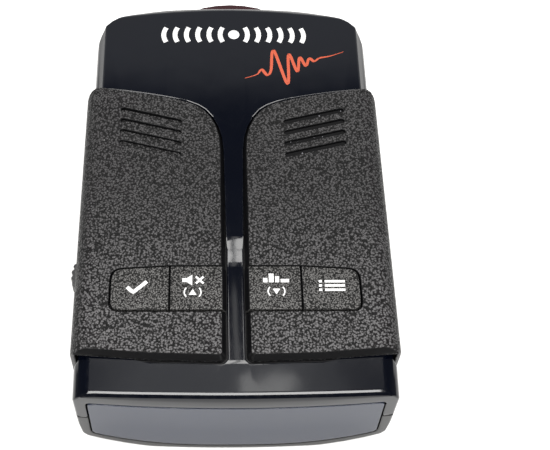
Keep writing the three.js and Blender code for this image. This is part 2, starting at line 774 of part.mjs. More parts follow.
// The horn: a flared mouth behind the rear wall and a block that hangs under the board.
function hornAntenna() {
  const footZ = wall + 2.2;
  const mouthTopZ = partingZ - hornUnderJoint;
  const guideZ = footZ + 2;
  const block = box(-hornBlockX, hornBlockX, hornThroatY - hornBlockLength, hornThroatY + 0.5, footZ, hornTopZ);
  const flare = taperedBlock(
    hornThroatY,
    { x: hornBlockX - 1, z0: footZ, z1: mouthTopZ - 1 },
    hornMouthY,
    { x: hornMouthX, z0: footZ + 0.6, z1: mouthTopZ },
  );
  const bore = taperedBlock(
    hornThroatY - hornBlockLength / 2,
    { x: hornGuideX, z0: guideZ, z1: guideZ + hornGuideHigh },
    hornMouthY + 0.1,
    { x: hornMouthX - hornWall, z0: footZ + 2, z1: mouthTopZ - hornWall },
  );
  const hole = (x) => post(x, hornScrewY, smallScrewR + gap, hornTopZ - 5, hornTopZ + 1);
  return cut(join(block, flare), bore, hole(-hornScrewX), hole(hornScrewX));
}

const shieldX = hornScrewX + smallHeadR + gap + 1.8;
const rfShield = () => {
  const y0 = boardScrewY + smallHeadR + gap + 5.8;
  return box(-shieldX - shieldWide, -shieldX, y0, y0 + shieldLength, boardTopZ + 0.05, boardTopZ + shieldHigh);
};
const gpsAntenna = () => {
  const y1 = boardRearY - 0.5;
  return box(-patchSide - 4, -4, y1 - patchSide, y1, boardTopZ + 0.05, boardTopZ + patchHigh);
};

function screw(x, y, shankR, headR, z0, z1, headZ, headUp) {
  const [head0, head1] = headUp ? [headZ, headZ + headHigh] : [headZ - headHigh, headZ];
  const recess = headUp ? [head1 - 0.6, head1 + 1] : [head0 - 1, head0 + 0.6];
  const [long, half] = [headR * 0.5, 0.25];
  const cross = join(
    box(x - long, x + long, y - half, y + half, ...recess),
    box(x - half, x + half, y - long, y + long, ...recess),
  );
  return cut(join(post(x, y, headR, head0, head1, 16), post(x, y, shankR, z0, z1, 12)), cross);
}

function keySwitch(x) {
  const half = switchSide / 2;
  const body = box(x - half, x + half, keyMidY - half, keyMidY + half, boardTopZ + 0.05, boardTopZ + switchHigh);
  return cut(body, post(x, keyMidY, plungerR + gap, boardTopZ + 0.6, big, 16));
}

const keyPlunger = (x) => post(x, keyMidY, plungerR, boardTopZ + keyTravel + 0.7, plungerTopZ, 16);

// ---------------------------------------------------------------- speaker
const speakerTopZ = roofZ(speakerY) - 2 * gap;
const grilleHalf = 8.5;

const speakerFrame = () =>
  lathe(
    [
      [speakerR - speakerRim, speakerTopZ],
      [magnetR + 0.4, speakerTopZ - 2.6],
      [magnetR + 0.4, speakerTopZ - 3.2],
      [magnetR + 1.2, speakerTopZ - 3.4],
      [speakerR, speakerTopZ - 1],
      [speakerR, speakerTopZ],
      [speakerR - speakerRim, speakerTopZ],
    ],
    speakerX,
    speakerY,
  );
const speakerMagnet = () => post(speakerX, speakerY, magnetR, speakerTopZ - speakerHigh, speakerTopZ - 2.5, 28);
const speakerCone = () =>
  lathe(
    [
      [0, speakerTopZ - 2.2],
      [3, speakerTopZ - 2.3],
      [coneR, speakerTopZ - 0.6],
      [coneR, speakerTopZ - 0.3],
      [coneR - 0.4, speakerTopZ - 0.3],
      [2.6, speakerTopZ - 1.9],
      [0, speakerTopZ - 1.7],
    ],
    speakerX,
    speakerY,
  );

function speakerMesh() {
  const [x, y] = [slotX, slotMidY];
  const top = pocketZ(slotMidY - grilleHalf) - 0.1;
  return box(x - grilleHalf, x + grilleHalf, y - grilleHalf, y + grilleHalf, top - meshThick, top);
}

// ---------------------------------------------------------------- volume wheel and its control
function volumeWheel() {
  const rim = [];
  const turn = (2 * Math.PI) / wheelTeeth;
  for (let i = 0; i < wheelTeeth; i += 1) {
    for (const [share, r] of [
      [0, wheelR - toothDepth],
      [0.25, wheelR],
      [0.6, wheelR],
      [0.85, wheelR - toothDepth],
    ]) {
      rim.push([r * Math.cos(turn * (i + share)), r * Math.sin(turn * (i + share))]);
    }
  }
  const disc = solid(prismZ(outline(rim), wheelFootZ, wheelTopZ).translate(wheelX, wheelY, 0));
  const cup = post(wheelX, wheelY, potR + 0.5, wheelFootZ + wheelHubWall, big, 28);
  return cut(disc, cup, post(wheelX, wheelY, potShaftR + gap, 0, big, 16));
}

const volumePot = () =>
  join(
    post(wheelX, wheelY, potR, wheelFootZ + wheelHubWall + 0.4, wheelTopZ + 0.1, 28),
    post(wheelX, wheelY, potNeckR, wheelTopZ - 1, boardFootZ - gap, 20),
    post(wheelX, wheelY, potShaftR, wheelFootZ - 0.4, wheelTopZ - 1, 16),
  );

// ---------------------------------------------------------------- sockets
const socketFaceX = innerSideX - 0.5;

function powerJack() {
  const body = box(
    socketFaceX - jackLength,
    socketFaceX,
    jackY - jackSide / 2,
    jackY + jackSide / 2,
    socketZ - jackBoreR - 1.1,
    boardFootZ - gap,
  );
  return cut(body, barX(jackY, socketZ, jackBoreR, socketFaceX - jackLength + 1.5, big));
}

function usbShell() {
  const [y0, y1] = [usbY - usbWide / 2, usbY + usbWide / 2];
  const [z0, z1] = [socketZ - usbHigh / 2, socketZ + usbHigh / 2];
  const [x0, x1] = [socketFaceX + gap - usbLength, socketFaceX + gap];
  const can = join(box(x0, x1, y0, y1, z0, z1), box(x0, x0 + 4, y0 + 1, y1 - 1, z1 - usbSheet, boardFootZ - gap));
  return cut(can, box(x0 + 1, big, y0 + usbSheet, y1 - usbSheet, z0 + usbSheet, z1 - usbSheet));
}

const usbTongue = () =>
  box(socketFaceX + 2 * gap - usbLength + 1, socketFaceX - 0.8, usbY - 2.4, usbY + 2.4, socketZ - 0.1, socketZ + 0.5);

// ---------------------------------------------------------------- display parts
const frontSagX = windowX ** 2 / (2 * frontArcR);
const panelY = faceTopY + frontSagX + windowThick + gap + foamThick + 0.2;
const panelX = windowX - panelSide;
const panelTopZ = windowTopZ - 1.4;
const panelFootZ = bellyZ(panelX) + wall + 2;
const displayBoardY = panelY + panelThick + gap;
const displayBoardThick = 1.4;

const displayPanel = () => box(-panelX, panelX, panelY, panelY + panelThick, panelFootZ, panelTopZ);

function displayFoam() {
  const [x, z0, z1] = [panelX + 0.6, panelFootZ - 0.4, panelTopZ + 0.4];
  const ring = cut(
    box(-x, x, -big, 0, z0, z1),
    box(foamWide - x, x - foamWide, -big, big, z0 + foamWide, z1 - foamWide),
  );
  return faceSlab(windowThick + gap, windowThick + gap + foamThick).intersect(ring);
}

const displayBoard = () =>
  box(-panelX - 0.4, panelX + 0.4, displayBoardY, displayBoardY + displayBoardThick, panelFootZ, panelTopZ + 0.4);

// The flat cable from the display board up to the main board, seen from the side.
function displayCable() {
  const y0 = displayBoardY + displayBoardThick + gap;
  const topZ = boardFootZ - gap - cableThick;
  const line = [
    [y0, panelFootZ + 1.4],
    [y0 + 1, panelFootZ + 1.6],
    [y0 + 2.6, panelFootZ + 4.4],
    [y0 + 4, topZ - 2.8],
    [y0 + 5.4, topZ - 0.6],
    [y0 + 8, topZ],
    [y0 + 12, topZ],
  ];
  const upper = line.map(([y, z]) => [y - cableThick * 0.6, z + cableThick]).reverse();
  return solid(prismX(outline([...line, ...upper]), -cableHalf, cableHalf));
}

// ---------------------------------------------------------------- materials and assembly
const paint = (color, roughness, metalness = 0) => new THREE.MeshStandardMaterial({ color, roughness, metalness });
const finish = {
  gloss: paint(0x0c0c10, 0.1),
  satin: paint(0x17171a, 0.5),
  grained: paint(0x2b2b2d, 0.7),
  smoked: paint(0x23262b, 0.08),
  lens: paint(0x120608, 0.05),
  board: paint(0x1d4d2c, 0.45),
  metal: paint(0xb8b9bc, 0.35, 1),
  steel: paint(0x77787c, 0.3, 1),
  ceramic: paint(0xb9a98c, 0.6),
  cone: paint(0x1a1a1a, 0.8),
  cloth: paint(0x101011, 0.95),
  plastic: paint(0x0e0e0f, 0.5),
  label: paint(0xc9cacb, 0.6),
  foam: paint(0x202022, 0.95),
  cable: paint(0x9a5a1c, 0.4),
};

const part = new THREE.Group();

function add(name, made, material) {
  const m = made.getMesh();
  const vertices = new Float32Array(m.numVert * 3);
  for (let i = 0; i < m.numVert; i += 1) {
    vertices.set(m.vertProperties.subarray(i * m.numProp, i * m.numProp + 3), i * 3);
  }
  const geometry = new THREE.BufferGeometry()
    .setAttribute("position", new THREE.BufferAttribute(vertices, 3))
    .setIndex(new THREE.BufferAttribute(m.triVerts, 1));
  geometry.computeVertexNormals();
  const mesh = new THREE.Mesh(geometry, material);
  mesh.name = name;
  part.add(mesh);
}

add("upper_housing", upperHousing(), finish.gloss);
add("lower_housing", lowerHousing(), finish.satin);

const slots = Array.from({ length: slotCount }, (_, i) => i);
const openSlots = slots.map((i) => slotCutter(i, partingZ));
const blindSlots = slots.map((i) => slotCutter(i, wingTop(slotMidY) - blindSlotDepth));
add("right_wing", cut(wingBlank(), keyHole(), ...openSlots, jackAccess(), usbAccess()), finish.grained);
add("left_wing", cut(mirrored(cut(wingBlank(), keyHole(), ...blindSlots)), wheelAccess()), finish.grained);

for (const [name, outerKey, side] of [
  ["confirm", true, -1],
  ["up", false, -1],
  ["down", false, 1],
  ["mode", true, 1],
]) {
  const made = key(outerKey);
  const x = side * keyStemX(outerKey);
  add(`key_${name}`, side < 0 ? mirrored(made) : made, finish.grained);
  add(`switch_${name}`, keySwitch(x), finish.plastic);
  add(`plunger_${name}`, keyPlunger(x), finish.steel);
}

add("display_window", displayWindow(), finish.smoked);
add("display_foam", displayFoam(), finish.foam);
add("display_panel", displayPanel(), finish.plastic);
add("display_board", displayBoard(), finish.board);
add("display_cable", displayCable(), finish.cable);

add("main_board", mainBoard(), finish.board);
add("horn_antenna", hornAntenna(), finish.metal);
add("rf_shield", rfShield(), finish.steel);
add("gps_antenna", gpsAntenna(), finish.ceramic);

add("laser_lens", laserLens(), finish.lens);
const laserBoardY = flangeY - 6.9;
const laserZ = (lensFootZ + lensTopZ) / 2 - 0.4;
add("laser_board", box(-8.5, 8.5, laserBoardY, laserBoardY + 1.4, laserZ - 3.8, laserZ + 3.8), finish.board);
add("laser_sensor", barY(0, laserZ, 2.8, laserBoardY + 1.4 + gap, laserBoardY + 4.4), finish.steel);

add("speaker_frame", speakerFrame(), finish.steel);
add("speaker_magnet", speakerMagnet(), finish.metal);
add("speaker_cone", speakerCone(), finish.cone);
add("speaker_mesh", speakerMesh(), finish.cloth);

add("volume_wheel", volumeWheel(), finish.plastic);
add("volume_pot", volumePot(), finish.steel);
add("power_jack", powerJack(), finish.plastic);
add("usb_shell", usbShell(), finish.metal);
add("usb_tongue", usbTongue(), finish.plastic);
add("rating_label", ratingLabel(), finish.label);

for (const [name, x, y] of caseScrews) {
  const made = screw(x, y, caseScrewR, caseHeadR, seatZ - 1, innerRoofZ(y) - 2.6, seatZ - gap, false);
  add(`case_screw_${name}`, made, finish.steel);
}
for (const [name, x, y] of boardScrews) {
  const made = screw(x, y, smallScrewR, smallHeadR, boardFootZ - 1, roofZ(y) - 0.8, boardFootZ - gap, false);
  add(`board_screw_${name}`, made, finish.steel);
}
for (const [name, x] of [
  ["left", -hornScrewX],
  ["right", hornScrewX],
]) {
  const made = screw(x, hornScrewY, smallScrewR, smallHeadR, hornTopZ - 4.4, boardTopZ + 1, boardTopZ + gap, true);
  add(`horn_screw_${name}`, made, finish.steel);
}

export default part;
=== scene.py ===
"""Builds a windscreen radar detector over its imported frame: rounded shells, grained wings and keys, a smoked
display window, a knurled volume wheel, printed symbols and the studio they stand in. Metres throughout."""

import math

import bmesh
import bpy
from bpy.props import FloatProperty, FloatVectorProperty, IntProperty, PointerProperty
from bpy.types import Operator, Panel, PropertyGroup
from mathutils import Matrix, Vector
from mathutils.bvhtree import BVHTree


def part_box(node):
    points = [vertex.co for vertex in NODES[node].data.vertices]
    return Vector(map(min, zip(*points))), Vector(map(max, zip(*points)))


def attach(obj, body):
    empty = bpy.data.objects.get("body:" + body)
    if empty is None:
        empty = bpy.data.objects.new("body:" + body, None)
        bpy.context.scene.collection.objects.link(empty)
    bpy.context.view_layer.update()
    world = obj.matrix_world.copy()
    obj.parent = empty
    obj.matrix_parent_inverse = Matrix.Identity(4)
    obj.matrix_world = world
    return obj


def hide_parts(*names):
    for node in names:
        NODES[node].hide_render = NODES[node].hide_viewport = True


bl_info = {
    "name": "Radar Detector",
    "version": (1, 0, 0),
    "blender": (4, 5, 0),
    "location": "View3D > Sidebar > Detector",
    "description": "Builds a windscreen radar detector over its packed frame",
    "category": "Add Mesh",
}

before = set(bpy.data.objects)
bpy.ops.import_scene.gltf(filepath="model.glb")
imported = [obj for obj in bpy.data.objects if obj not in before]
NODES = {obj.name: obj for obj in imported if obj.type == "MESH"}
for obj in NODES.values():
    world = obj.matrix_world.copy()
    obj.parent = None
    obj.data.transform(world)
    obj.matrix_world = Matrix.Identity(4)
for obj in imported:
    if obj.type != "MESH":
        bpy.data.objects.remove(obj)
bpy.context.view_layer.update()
MM = 0.001

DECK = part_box("upper_housing")
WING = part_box("right_wing")
KEYS = ("confirm", "up", "down", "mode")


# ---------------------------------------------------------------- settings
def length(name, description, default, low, high=1000.0):
    """A length setting; its values are given in millimetres."""
    return FloatProperty(
        name=name, description=description, default=default * MM, min=low * MM, max=high * MM, precision=5,
        unit="LENGTH", subtype="DISTANCE")


class DetectorSizes(PropertyGroup):
    """Sizes that can be changed without changing the frame"""

    crease_round: length("Crease rounding", "Radius between the deck and the display face", 1.0, 0.1, 1.3)
    shell_round: length(
        "Shell rounding", "Radius along the outer edges of the two housing halves", 0.35, 0.05, 0.6)
    wing_round: length("Wing rounding", "Radius along the wings' edges and slots", 0.28, 0.05, 0.4)
    key_round: length("Key rounding", "Radius round the tops of the keys", 0.22, 0.05, 0.3)
    fine_round: length("Fine rounding", "Radius on the small visible pieces", 0.12, 0.02, 0.2)
    grain_pitch: length("Wing grain", "Distance between the pebbles of the wings' grain", 0.5, 0.1)
    key_grain_pitch: length("Key grain", "Distance between the pebbles of the keys' grain", 0.36, 0.1)
    grain_depth: length("Grain depth", "Height of the moulded grain", 0.2, 0.0)
    print_thick: length("Print thickness", "Height of the printed symbols above their surface", 0.03, 0.01)
    wave_length: length("Wave mark length", "Length of the white wave mark on the rear deck", 39.6, 10)
    wave_high: length("Wave mark height", "Height of the white wave mark", 4.6, 1)
    pulse_length: length("Pulse line length", "Length of the orange pulse line", 27, 5)
    wave_arcs: IntProperty(
        name="Arcs on each side", description="Arcs beside the wave mark's dot", default=6, min=1, max=8)


def colour(name, description, default):
    return FloatVectorProperty(
        name=name, description=description, default=default, size=3, min=0.0, max=1.0, subtype="COLOR")


class DetectorColours(PropertyGroup):
    """Colours of the finishes, scene linear"""

    gloss: colour("Gloss black", "Deck and upper housing", (0.0011, 0.0017, 0.0042))
    satin: colour("Satin black", "Lower housing", (0.0045, 0.0045, 0.005))
    wing: colour("Wing black", "Grained wings", (0.0042, 0.0041, 0.0042))
    key: colour("Key black", "Keys", (0.005, 0.0049, 0.0048))
    smoke: colour("Smoked window", "Display window", (0.018, 0.026, 0.052))
    lens: colour("Rear lens", "Dark red-black laser lens", (0.03, 0.006, 0.008))
    white_ink: colour("White print", "Wave mark and key symbols", (0.6, 0.6, 0.6))
    orange_ink: colour("Orange print", "Pulse line", (0.4, 0.062, 0.024))
    board: colour("Board green", "Circuit boards", (0.008, 0.055, 0.022))
    floor: colour("Floor", "Studio floor", (0.9, 0.9, 0.9))


def sizes():
    return bpy.context.scene.detector_sizes


def colours():
    return bpy.context.scene.detector_colours


# ---------------------------------------------------------------- shader nodes
def put(tree, kind, inputs=None, **settings):
    """Adds a shader node; an input takes a value or another node's output."""
    made = tree.nodes.new("ShaderNode" + kind)
    for name, value in settings.items():
        setattr(made, name, value)
    for key, value in (inputs or {}).items():
        if isinstance(value, bpy.types.NodeSocket):
            tree.links.new(value, made.inputs[key])
        else:
            made.inputs[key].default_value = value
    return made


def maths(tree, operation, a, b=0.0, c=0.0, clamp=False):
    return put(tree, "Math", {0: a, 1: b, 2: c}, operation=operation, use_clamp=clamp).outputs[0]


def times(tree, a, b):
    return maths(tree, "MULTIPLY", a, b)


def axes(tree, vector):
    """The x, y and z outputs of a vector."""
    return put(tree, "SeparateXYZ", {0: vector}).outputs


def ramp(tree, value, low, high):
    """Maps low..high to 0..1, smoothly at both ends."""
    inputs = {"Value": value, "From Min": low, "From Max": high}
    return put(tree, "MapRange", inputs, interpolation_type="SMOOTHSTEP").outputs[0]


def blend(tree, share, a, b):
    """Mixes colour a into b by share."""
    a, b = (c if isinstance(c, bpy.types.NodeSocket) else (*c[:3], 1.0) for c in (a, b))
    return put(tree, "Mix", {0: share, 6: a, 7: b}, data_type="RGBA", clamp_factor=True).outputs[2]


def spaced(tree, pitch):
    """Object coordinates counted in steps of pitch."""
    place = put(tree, "TexCoord").outputs["Object"]
    step = maths(tree, "DIVIDE", 1.0, pitch)
    return put(tree, "VectorMath", {0: place, "Scale": step}, operation="SCALE").outputs[0]


def group(name, inputs, *outputs):
    """Starts a shader node group: its tree, inputs, place in steps of its Pitch, and result."""
    tree = bpy.data.node_groups.new(name, "ShaderNodeTree")
    for label, default in inputs.items():
        kind = "NodeSocketColor" if label == "Colour" else "NodeSocketFloat"
        tree.interface.new_socket(name=label, in_out="INPUT", socket_type=kind).default_value = default
    for label in outputs:
        kind = "NodeSocketColor" if label == "Colour" else "NodeSocketFloat"
        tree.interface.new_socket(name=label, in_out="OUTPUT", socket_type=kind)
    given = tree.nodes.new("NodeGroupInput").outputs
    result = tree.nodes.new("NodeGroupOutput")
    return tree, given, spaced(tree, given["Pitch"]), result


def answer(tree, result, **values):
    for label, socket in values.items():
        tree.links.new(socket, result.inputs[label])
    return tree


def pebble_group():
    """Rounded pebbles of uneven size, as etched into a mould."""
    tree, given, place, result = group("Pebble grain", {"Pitch": 0.0005}, "Height", "Crest")
    cells = put(tree, "TexVoronoi", {"Vector": place, "Scale": 1.0, "Smoothness": 0.55}, feature="SMOOTH_F1")
    rough = put(tree, "TexNoise", {"Vector": place, "Scale": 1.9, "Detail": 2.0, "Roughness": 0.6})
    pebble = maths(tree, "SUBTRACT", 0.95, cells.outputs["Distance"])
    height = maths(tree, "MULTIPLY_ADD", rough.outputs["Fac"], 0.75, pebble)
    return answer(tree, result, Height=height, Crest=ramp(tree, height, 0.68, 1.16))


def erosion_group():
    """The fine even texture that spark erosion leaves in a mould."""
    tree, given, place, result = group("Spark texture", {"Pitch": 0.0002}, "Height")
    fine = put(tree, "TexNoise", {"Vector": place, "Scale": 1.0, "Detail": 3.0, "Roughness": 0.65})
    return answer(tree, result, Height=fine.outputs["Fac"])


def mottle_group():
    """Slow and fine change of colour and roughness over a surface."""
    tree, given, place, result = group(
        "Mottle",
        {"Colour": (0.5, 0.5, 0.5, 1.0), "Pitch": 0.01, "Amount": 0.1, "Roughness": 0.3,
         "Roughness Amount": 0.05},
        "Colour", "Roughness")
    slow = put(tree, "TexNoise", {"Vector": place, "Scale": 1.0, "Detail": 5.0, "Roughness": 0.6})
    other = put(tree, "TexNoise", {"Vector": place, "Scale": 2.3, "Detail": 6.0, "Roughness": 0.7})
    swing = times(tree, maths(tree, "SUBTRACT", slow.outputs["Fac"], 0.5), 2.4)
    gain = maths(tree, "MULTIPLY_ADD", swing, given["Amount"], 1.0)
    tint = put(tree, "VectorMath", {0: given["Colour"], "Scale": gain}, operation="SCALE").outputs[0]
    rub = times(tree, maths(tree, "SUBTRACT", other.outputs["Fac"], 0.5), 2.4)
    rough = maths(tree, "MULTIPLY_ADD", rub, given["Roughness Amount"], given["Roughness"], clamp=True)
    return answer(tree, result, Colour=tint, Roughness=rough)


def speck_group():
    """Dust: small pale specks, a few of the cells of a loose lattice holding one."""
    tree, given, place, result = group("Dust specks", {"Pitch": 0.002, "Size": 0.08, "Share": 0.2}, "Mask")
    warp = put(tree, "TexNoise", {"Vector": place, "Scale": 7.0, "Detail": 1.0})
    bent = put(tree, "VectorMath", {0: warp.outputs["Color"], "Scale": 0.12}, operation="SCALE").outputs[0]
    moved = put(tree, "VectorMath", {0: place, 1: bent}, operation="ADD").outputs[0]
    cells = put(tree, "TexVoronoi", {"Vector": moved, "Scale": 1.0})
    lot = put(tree, "SeparateColor", {0: cells.outputs["Color"]})
    reach = times(tree, lot.outputs[1], given["Size"])
    inside = maths(tree, "LESS_THAN", cells.outputs["Distance"], reach)
    chosen = maths(tree, "LESS_THAN", lot.outputs[0], given["Share"])
    return answer(tree, result, Mask=times(tree, inside, chosen))


def wear_group():
    """Rubbed edges: the rounded edge faces, broken up."""
    tree, given, place, result = group("Edge wear", {"Pitch": 0.001, "Amount": 0.4}, "Mask")
    edge = put(tree, "Attribute", attribute_name="rubbed").outputs["Fac"]
    patch = put(tree, "TexNoise", {"Vector": place, "Scale": 1.0, "Detail": 4.0, "Roughness": 0.7})
    broken = ramp(tree, patch.outputs["Fac"], 0.35, 0.75)
    return answer(tree, result, Mask=times(tree, times(tree, edge, broken), given["Amount"]))


def hairline_group():
    """Faint wiping marks, long one way and fine the other."""
    tree, given, place, result = group("Hairlines", {"Pitch": 0.0003, "Turn": 0.4}, "Mask")
    turned = put(
        tree, "VectorRotate", {"Vector": place, "Angle": given["Turn"]}, rotation_type="Z_AXIS").outputs[0]
    drawn = put(tree, "VectorMath", {0: turned, 1: (1.0, 0.03, 0.4)}, operation="MULTIPLY").outputs[0]
    lines = put(tree, "TexNoise", {"Vector": drawn, "Scale": 1.0, "Detail": 2.0, "Roughness": 0.5})
    return answer(tree, result, Mask=ramp(tree, lines.outputs["Fac"], 0.56, 0.78))


def weave_group():
    """Two crossing sets of threads."""
    tree, given, place, result = group("Weave", {"Pitch": 0.0004}, "Height", "Hole")
    across, along = (
        maths(tree, "ABSOLUTE", maths(tree, "SINE", times(tree, way, math.pi)))
        for way in axes(tree, place)[:2])
    height = maths(tree, "MAXIMUM", across, along)
    hole = ramp(tree, height, 0.75, 0.35)
    return answer(tree, result, Height=height, Hole=hole)


def tracks_group():
    """Copper tracks under the lacquer of a circuit board, and bare pads."""
    tree, given, place, result = group("Board tracks", {"Pitch": 0.002}, "Track", "Pad")
    bricks = put(
        tree, "TexBrick",
        {"Vector": place, "Scale": 1.0, "Mortar Size": 0.06, "Mortar Smooth": 0.2, "Brick Width": 1.7,
         "Row Height": 0.6})
    dots = put(tree, "TexVoronoi", {"Vector": place, "Scale": 1.4})
    lot = put(tree, "SeparateColor", {0: dots.outputs["Color"]})
    near = maths(tree, "LESS_THAN", dots.outputs["Distance"], 0.16)
    pad = times(tree, near, maths(tree, "LESS_THAN", lot.outputs[0], 0.35))
    return answer(tree, result, Track=bricks.outputs["Fac"], Pad=pad)


GROUPS = {}


def use(tree, name, **inputs):
    """Places one of the shared groups in a material; built the first time it is used."""
    if name not in GROUPS:
        GROUPS[name] = {
            "pebble": pebble_group, "erosion": erosion_group, "mottle": mottle_group, "specks": speck_group,
            "wear": wear_group, "hairlines": hairline_group, "weave": weave_group, "tracks": tracks_group,
        }[name]()
    made = tree.nodes.new("ShaderNodeGroup")
    made.node_tree = GROUPS[name]
    for label, value in inputs.items():
        socket = made.inputs[label.replace("_", " ")]
        if isinstance(value, bpy.types.NodeSocket):
            tree.links.new(value, socket)
        else:
            socket.default_value = (*value, 1.0) if hasattr(value, "__len__") and len(value) == 3 else value
    return made.outputs


def mottled(tree, tint, pitch, amount, rough, swing):
    """A colour that varies by amount and a roughness that varies by swing."""
    return use(
        tree, "mottle", Colour=tint, Pitch=pitch, Amount=amount, Roughness=rough, Roughness_Amount=swing)


def specked(tree, pitch, size, share):
    return use(tree, "specks", Pitch=pitch, Size=size, Share=share)["Mask"]


def eroded(tree, pitch):
    return use(tree, "erosion", Pitch=pitch)["Height"]


def material(name):
    """A new material with just its Principled shader and output."""
    made = bpy.data.materials.new(name)
    made.use_nodes = True
    tree = made.node_tree
    tree.nodes.clear()
    shader = put(tree, "BsdfPrincipled")
    out = put(tree, "OutputMaterial")
    tree.links.new(shader.outputs[0], out.inputs["Surface"])
    return made, tree, shader


def relief(tree, shader, *layers):
    """Joins bump layers one on another; each is (height, depth in metres)."""
    normal = None
    for height, depth in layers:
        inputs = {"Height": height, "Distance": depth, "Strength": 1.0}
        if normal is not None:
            inputs["Normal"] = normal
        normal = put(tree, "Bump", inputs).outputs[0]
    tree.links.new(normal, shader.inputs["Normal"])


def set_all(shader, **values):
    for label, value in values.items():
        shader.inputs[label.replace("_", " ")].default_value = value


def tinge(tree, mask, share, under, over):
    """Lays the colour over on under where the mask is, as thinly as share says."""
    return blend(tree, times(tree, mask, share), under, over)


def dress(tree, shader, tint, rough, *layers, **values):
    """Links the colour and the roughness, and gives the bump layers and plain values."""
    tree.links.new(tint, shader.inputs["Base Color"])
    tree.links.new(rough, shader.inputs["Roughness"])
    if layers:
        relief(tree, shader, *layers)
    set_all(shader, **values)


FINISHES = {}
DULL = 0.14  # specular level of the grained plastic and of the wings' smooth edges


def finish(name):
    """A finish by name, made the first time it is asked for."""
    if name not in FINISHES:
        FINISHES[name] = MAKERS[name](name)
    return FINISHES[name]


def gloss_housing(name):
    """Polished black plastic with faint wiping marks, a little dust and rubbed edges."""
    made, tree, shader = material(name)
    base = mottled(tree, colours().gloss, 0.014, 0.15, 0.075, 0.035)
    marks = use(tree, "hairlines", Pitch=0.22 * MM, Turn=0.5)["Mask"]
    dust = specked(tree, 3.4 * MM, 0.05, 0.1)
    rubbed = use(tree, "wear", Pitch=1.4 * MM, Amount=0.35)["Mask"]
    tint = tinge(tree, dust, 0.12, base["Colour"], (0.4, 0.4, 0.4))
    tint = tinge(tree, rubbed, 0.06, tint, (0.2, 0.2, 0.2))
    rough = maths(tree, "MULTIPLY_ADD", marks, 0.03, base["Roughness"])
    rough = maths(tree, "MULTIPLY_ADD", maths(tree, "MAXIMUM", rubbed, dust), 0.12, rough, clamp=True)
    wave = put(tree, "TexNoise", {"Vector": spaced(tree, 9 * MM), "Scale": 1.0, "Detail": 1.0}).outputs[0]
    dress(tree, shader, tint, rough, (wave, 0.02 * MM), IOR=1.5, Specular_IOR_Level=0.5)
    return made


def moulded(name, tint, roughness, pitch, depth, *, amount=0.12, wear=0.3, dust=0.08):
    """Spark textured moulded plastic, dull to satin."""
    made, tree, shader = material(name)
    base = mottled(tree, tint, 8 * MM, amount, roughness, 0.05)
    fine = eroded(tree, pitch)
    specks = specked(tree, 2.6 * MM, 0.06, dust)
    rubbed = use(tree, "wear", Pitch=1.1 * MM, Amount=wear)["Mask"]
    mixed = tinge(tree, specks, 0.2, base["Colour"], (0.35, 0.35, 0.34))
    mixed = tinge(tree, rubbed, 0.1, mixed, (0.25, 0.25, 0.25))
    rough = maths(tree, "MULTIPLY_ADD", rubbed, -0.15, base["Roughness"], clamp=True)
    dress(tree, shader, mixed, rough, (fine, depth), IOR=1.48)
    return made


def grained(name, tint, pitch, depth):
    """Black plastic with a pebble grain, its crests painted paler as a painted sheen, more on faces that look
    up and most towards the front by the keys.
    """
    made, tree, shader = material(name)
    base = mottled(tree, tint, 11 * MM, 0.2, 0.52, 0.06)
    grain = use(tree, "pebble", Pitch=pitch)
    dust = specked(tree, 2.2 * MM, 0.09, 0.07)
    rubbed = use(tree, "wear", Pitch=0.9 * MM, Amount=0.5)["Mask"]
    given = put(tree, "TexCoord").outputs
    # painted sheen: the crests are painted paler where the light's sheen falls, more on upward faces and
    # towards the front
    near = ramp(tree, axes(tree, given["Object"])[1], 5 * MM, -42 * MM)
    upward = ramp(tree, axes(tree, given["Normal"])[2], 0.7, 0.97)
    painted_sheen_share = times(
        tree, maths(tree, "MULTIPLY_ADD", near, 0.56, 0.44), maths(tree, "MULTIPLY_ADD", upward, 0.6, 0.4))
    pale = [min(1.0, c * 30) for c in tint]
    mixed = tinge(tree, grain["Crest"], painted_sheen_share, base["Colour"], pale)
    mixed = tinge(tree, dust, 0.35, mixed, (0.4, 0.4, 0.38))
    mixed = tinge(tree, rubbed, 0.08, mixed, (0.22, 0.22, 0.22))
    rough = maths(tree, "MULTIPLY_ADD", grain["Crest"], -0.22, base["Roughness"], clamp=True)
    dress(tree, shader, mixed, rough, (grain["Height"], depth), IOR=1.48, Specular_IOR_Level=DULL)
    return made


def wing_edge(name):
    """Dull smooth plastic without the grain's painted sheen for the wings' chamfers, the key gaps and the
    pocket under the wings, laid there as a painted shade that keeps them near black.
    """
    made = moulded(name, (0.0035, 0.0035, 0.004), 0.4, 0.3 * MM, 0.02 * MM, wear=0.5, dust=0.04)
    shader = next(n for n in made.node_tree.nodes if n.bl_idname == "ShaderNodeBsdfPrincipled")
    set_all(shader, Specular_IOR_Level=DULL)
    return made


def ink(name, tint):
    """Pad print: an even film with pin holes and a slightly uneven face."""
    made, tree, shader = material(name)
    base = mottled(tree, tint, 2.5 * MM, 0.05, 0.42, 0.06)
    fine = eroded(tree, 0.18 * MM)
    holes = specked(tree, 0.5 * MM, 0.12, 0.12)
    mixed = tinge(tree, holes, 0.25, base["Colour"], [c * 0.5 for c in tint])
    dress(tree, shader, mixed, base["Roughness"], (fine, 0.004 * MM))
    return made


def glassy(name, tint, roughness):
    """Tinted clear plastic with wiping marks and dust."""
    made, tree, shader = material(name)
    base = mottled(tree, tint, 12 * MM, 0.12, roughness, 0.02)
    marks = use(tree, "hairlines", Pitch=0.2 * MM, Turn=1.2)["Mask"]
    dust = specked(tree, 3 * MM, 0.05, 0.12)
    mixed = tinge(tree, dust, 0.15, base["Colour"], (0.4, 0.4, 0.4))
    rough = maths(tree, "MULTIPLY_ADD", marks, 0.05, base["Roughness"], clamp=True)
    fine = eroded(tree, 1.5 * MM)
    dress(tree, shader, mixed, rough, (fine, 0.004 * MM), IOR=1.5, Transmission_Weight=0.25, Metallic=0.0)
    return made


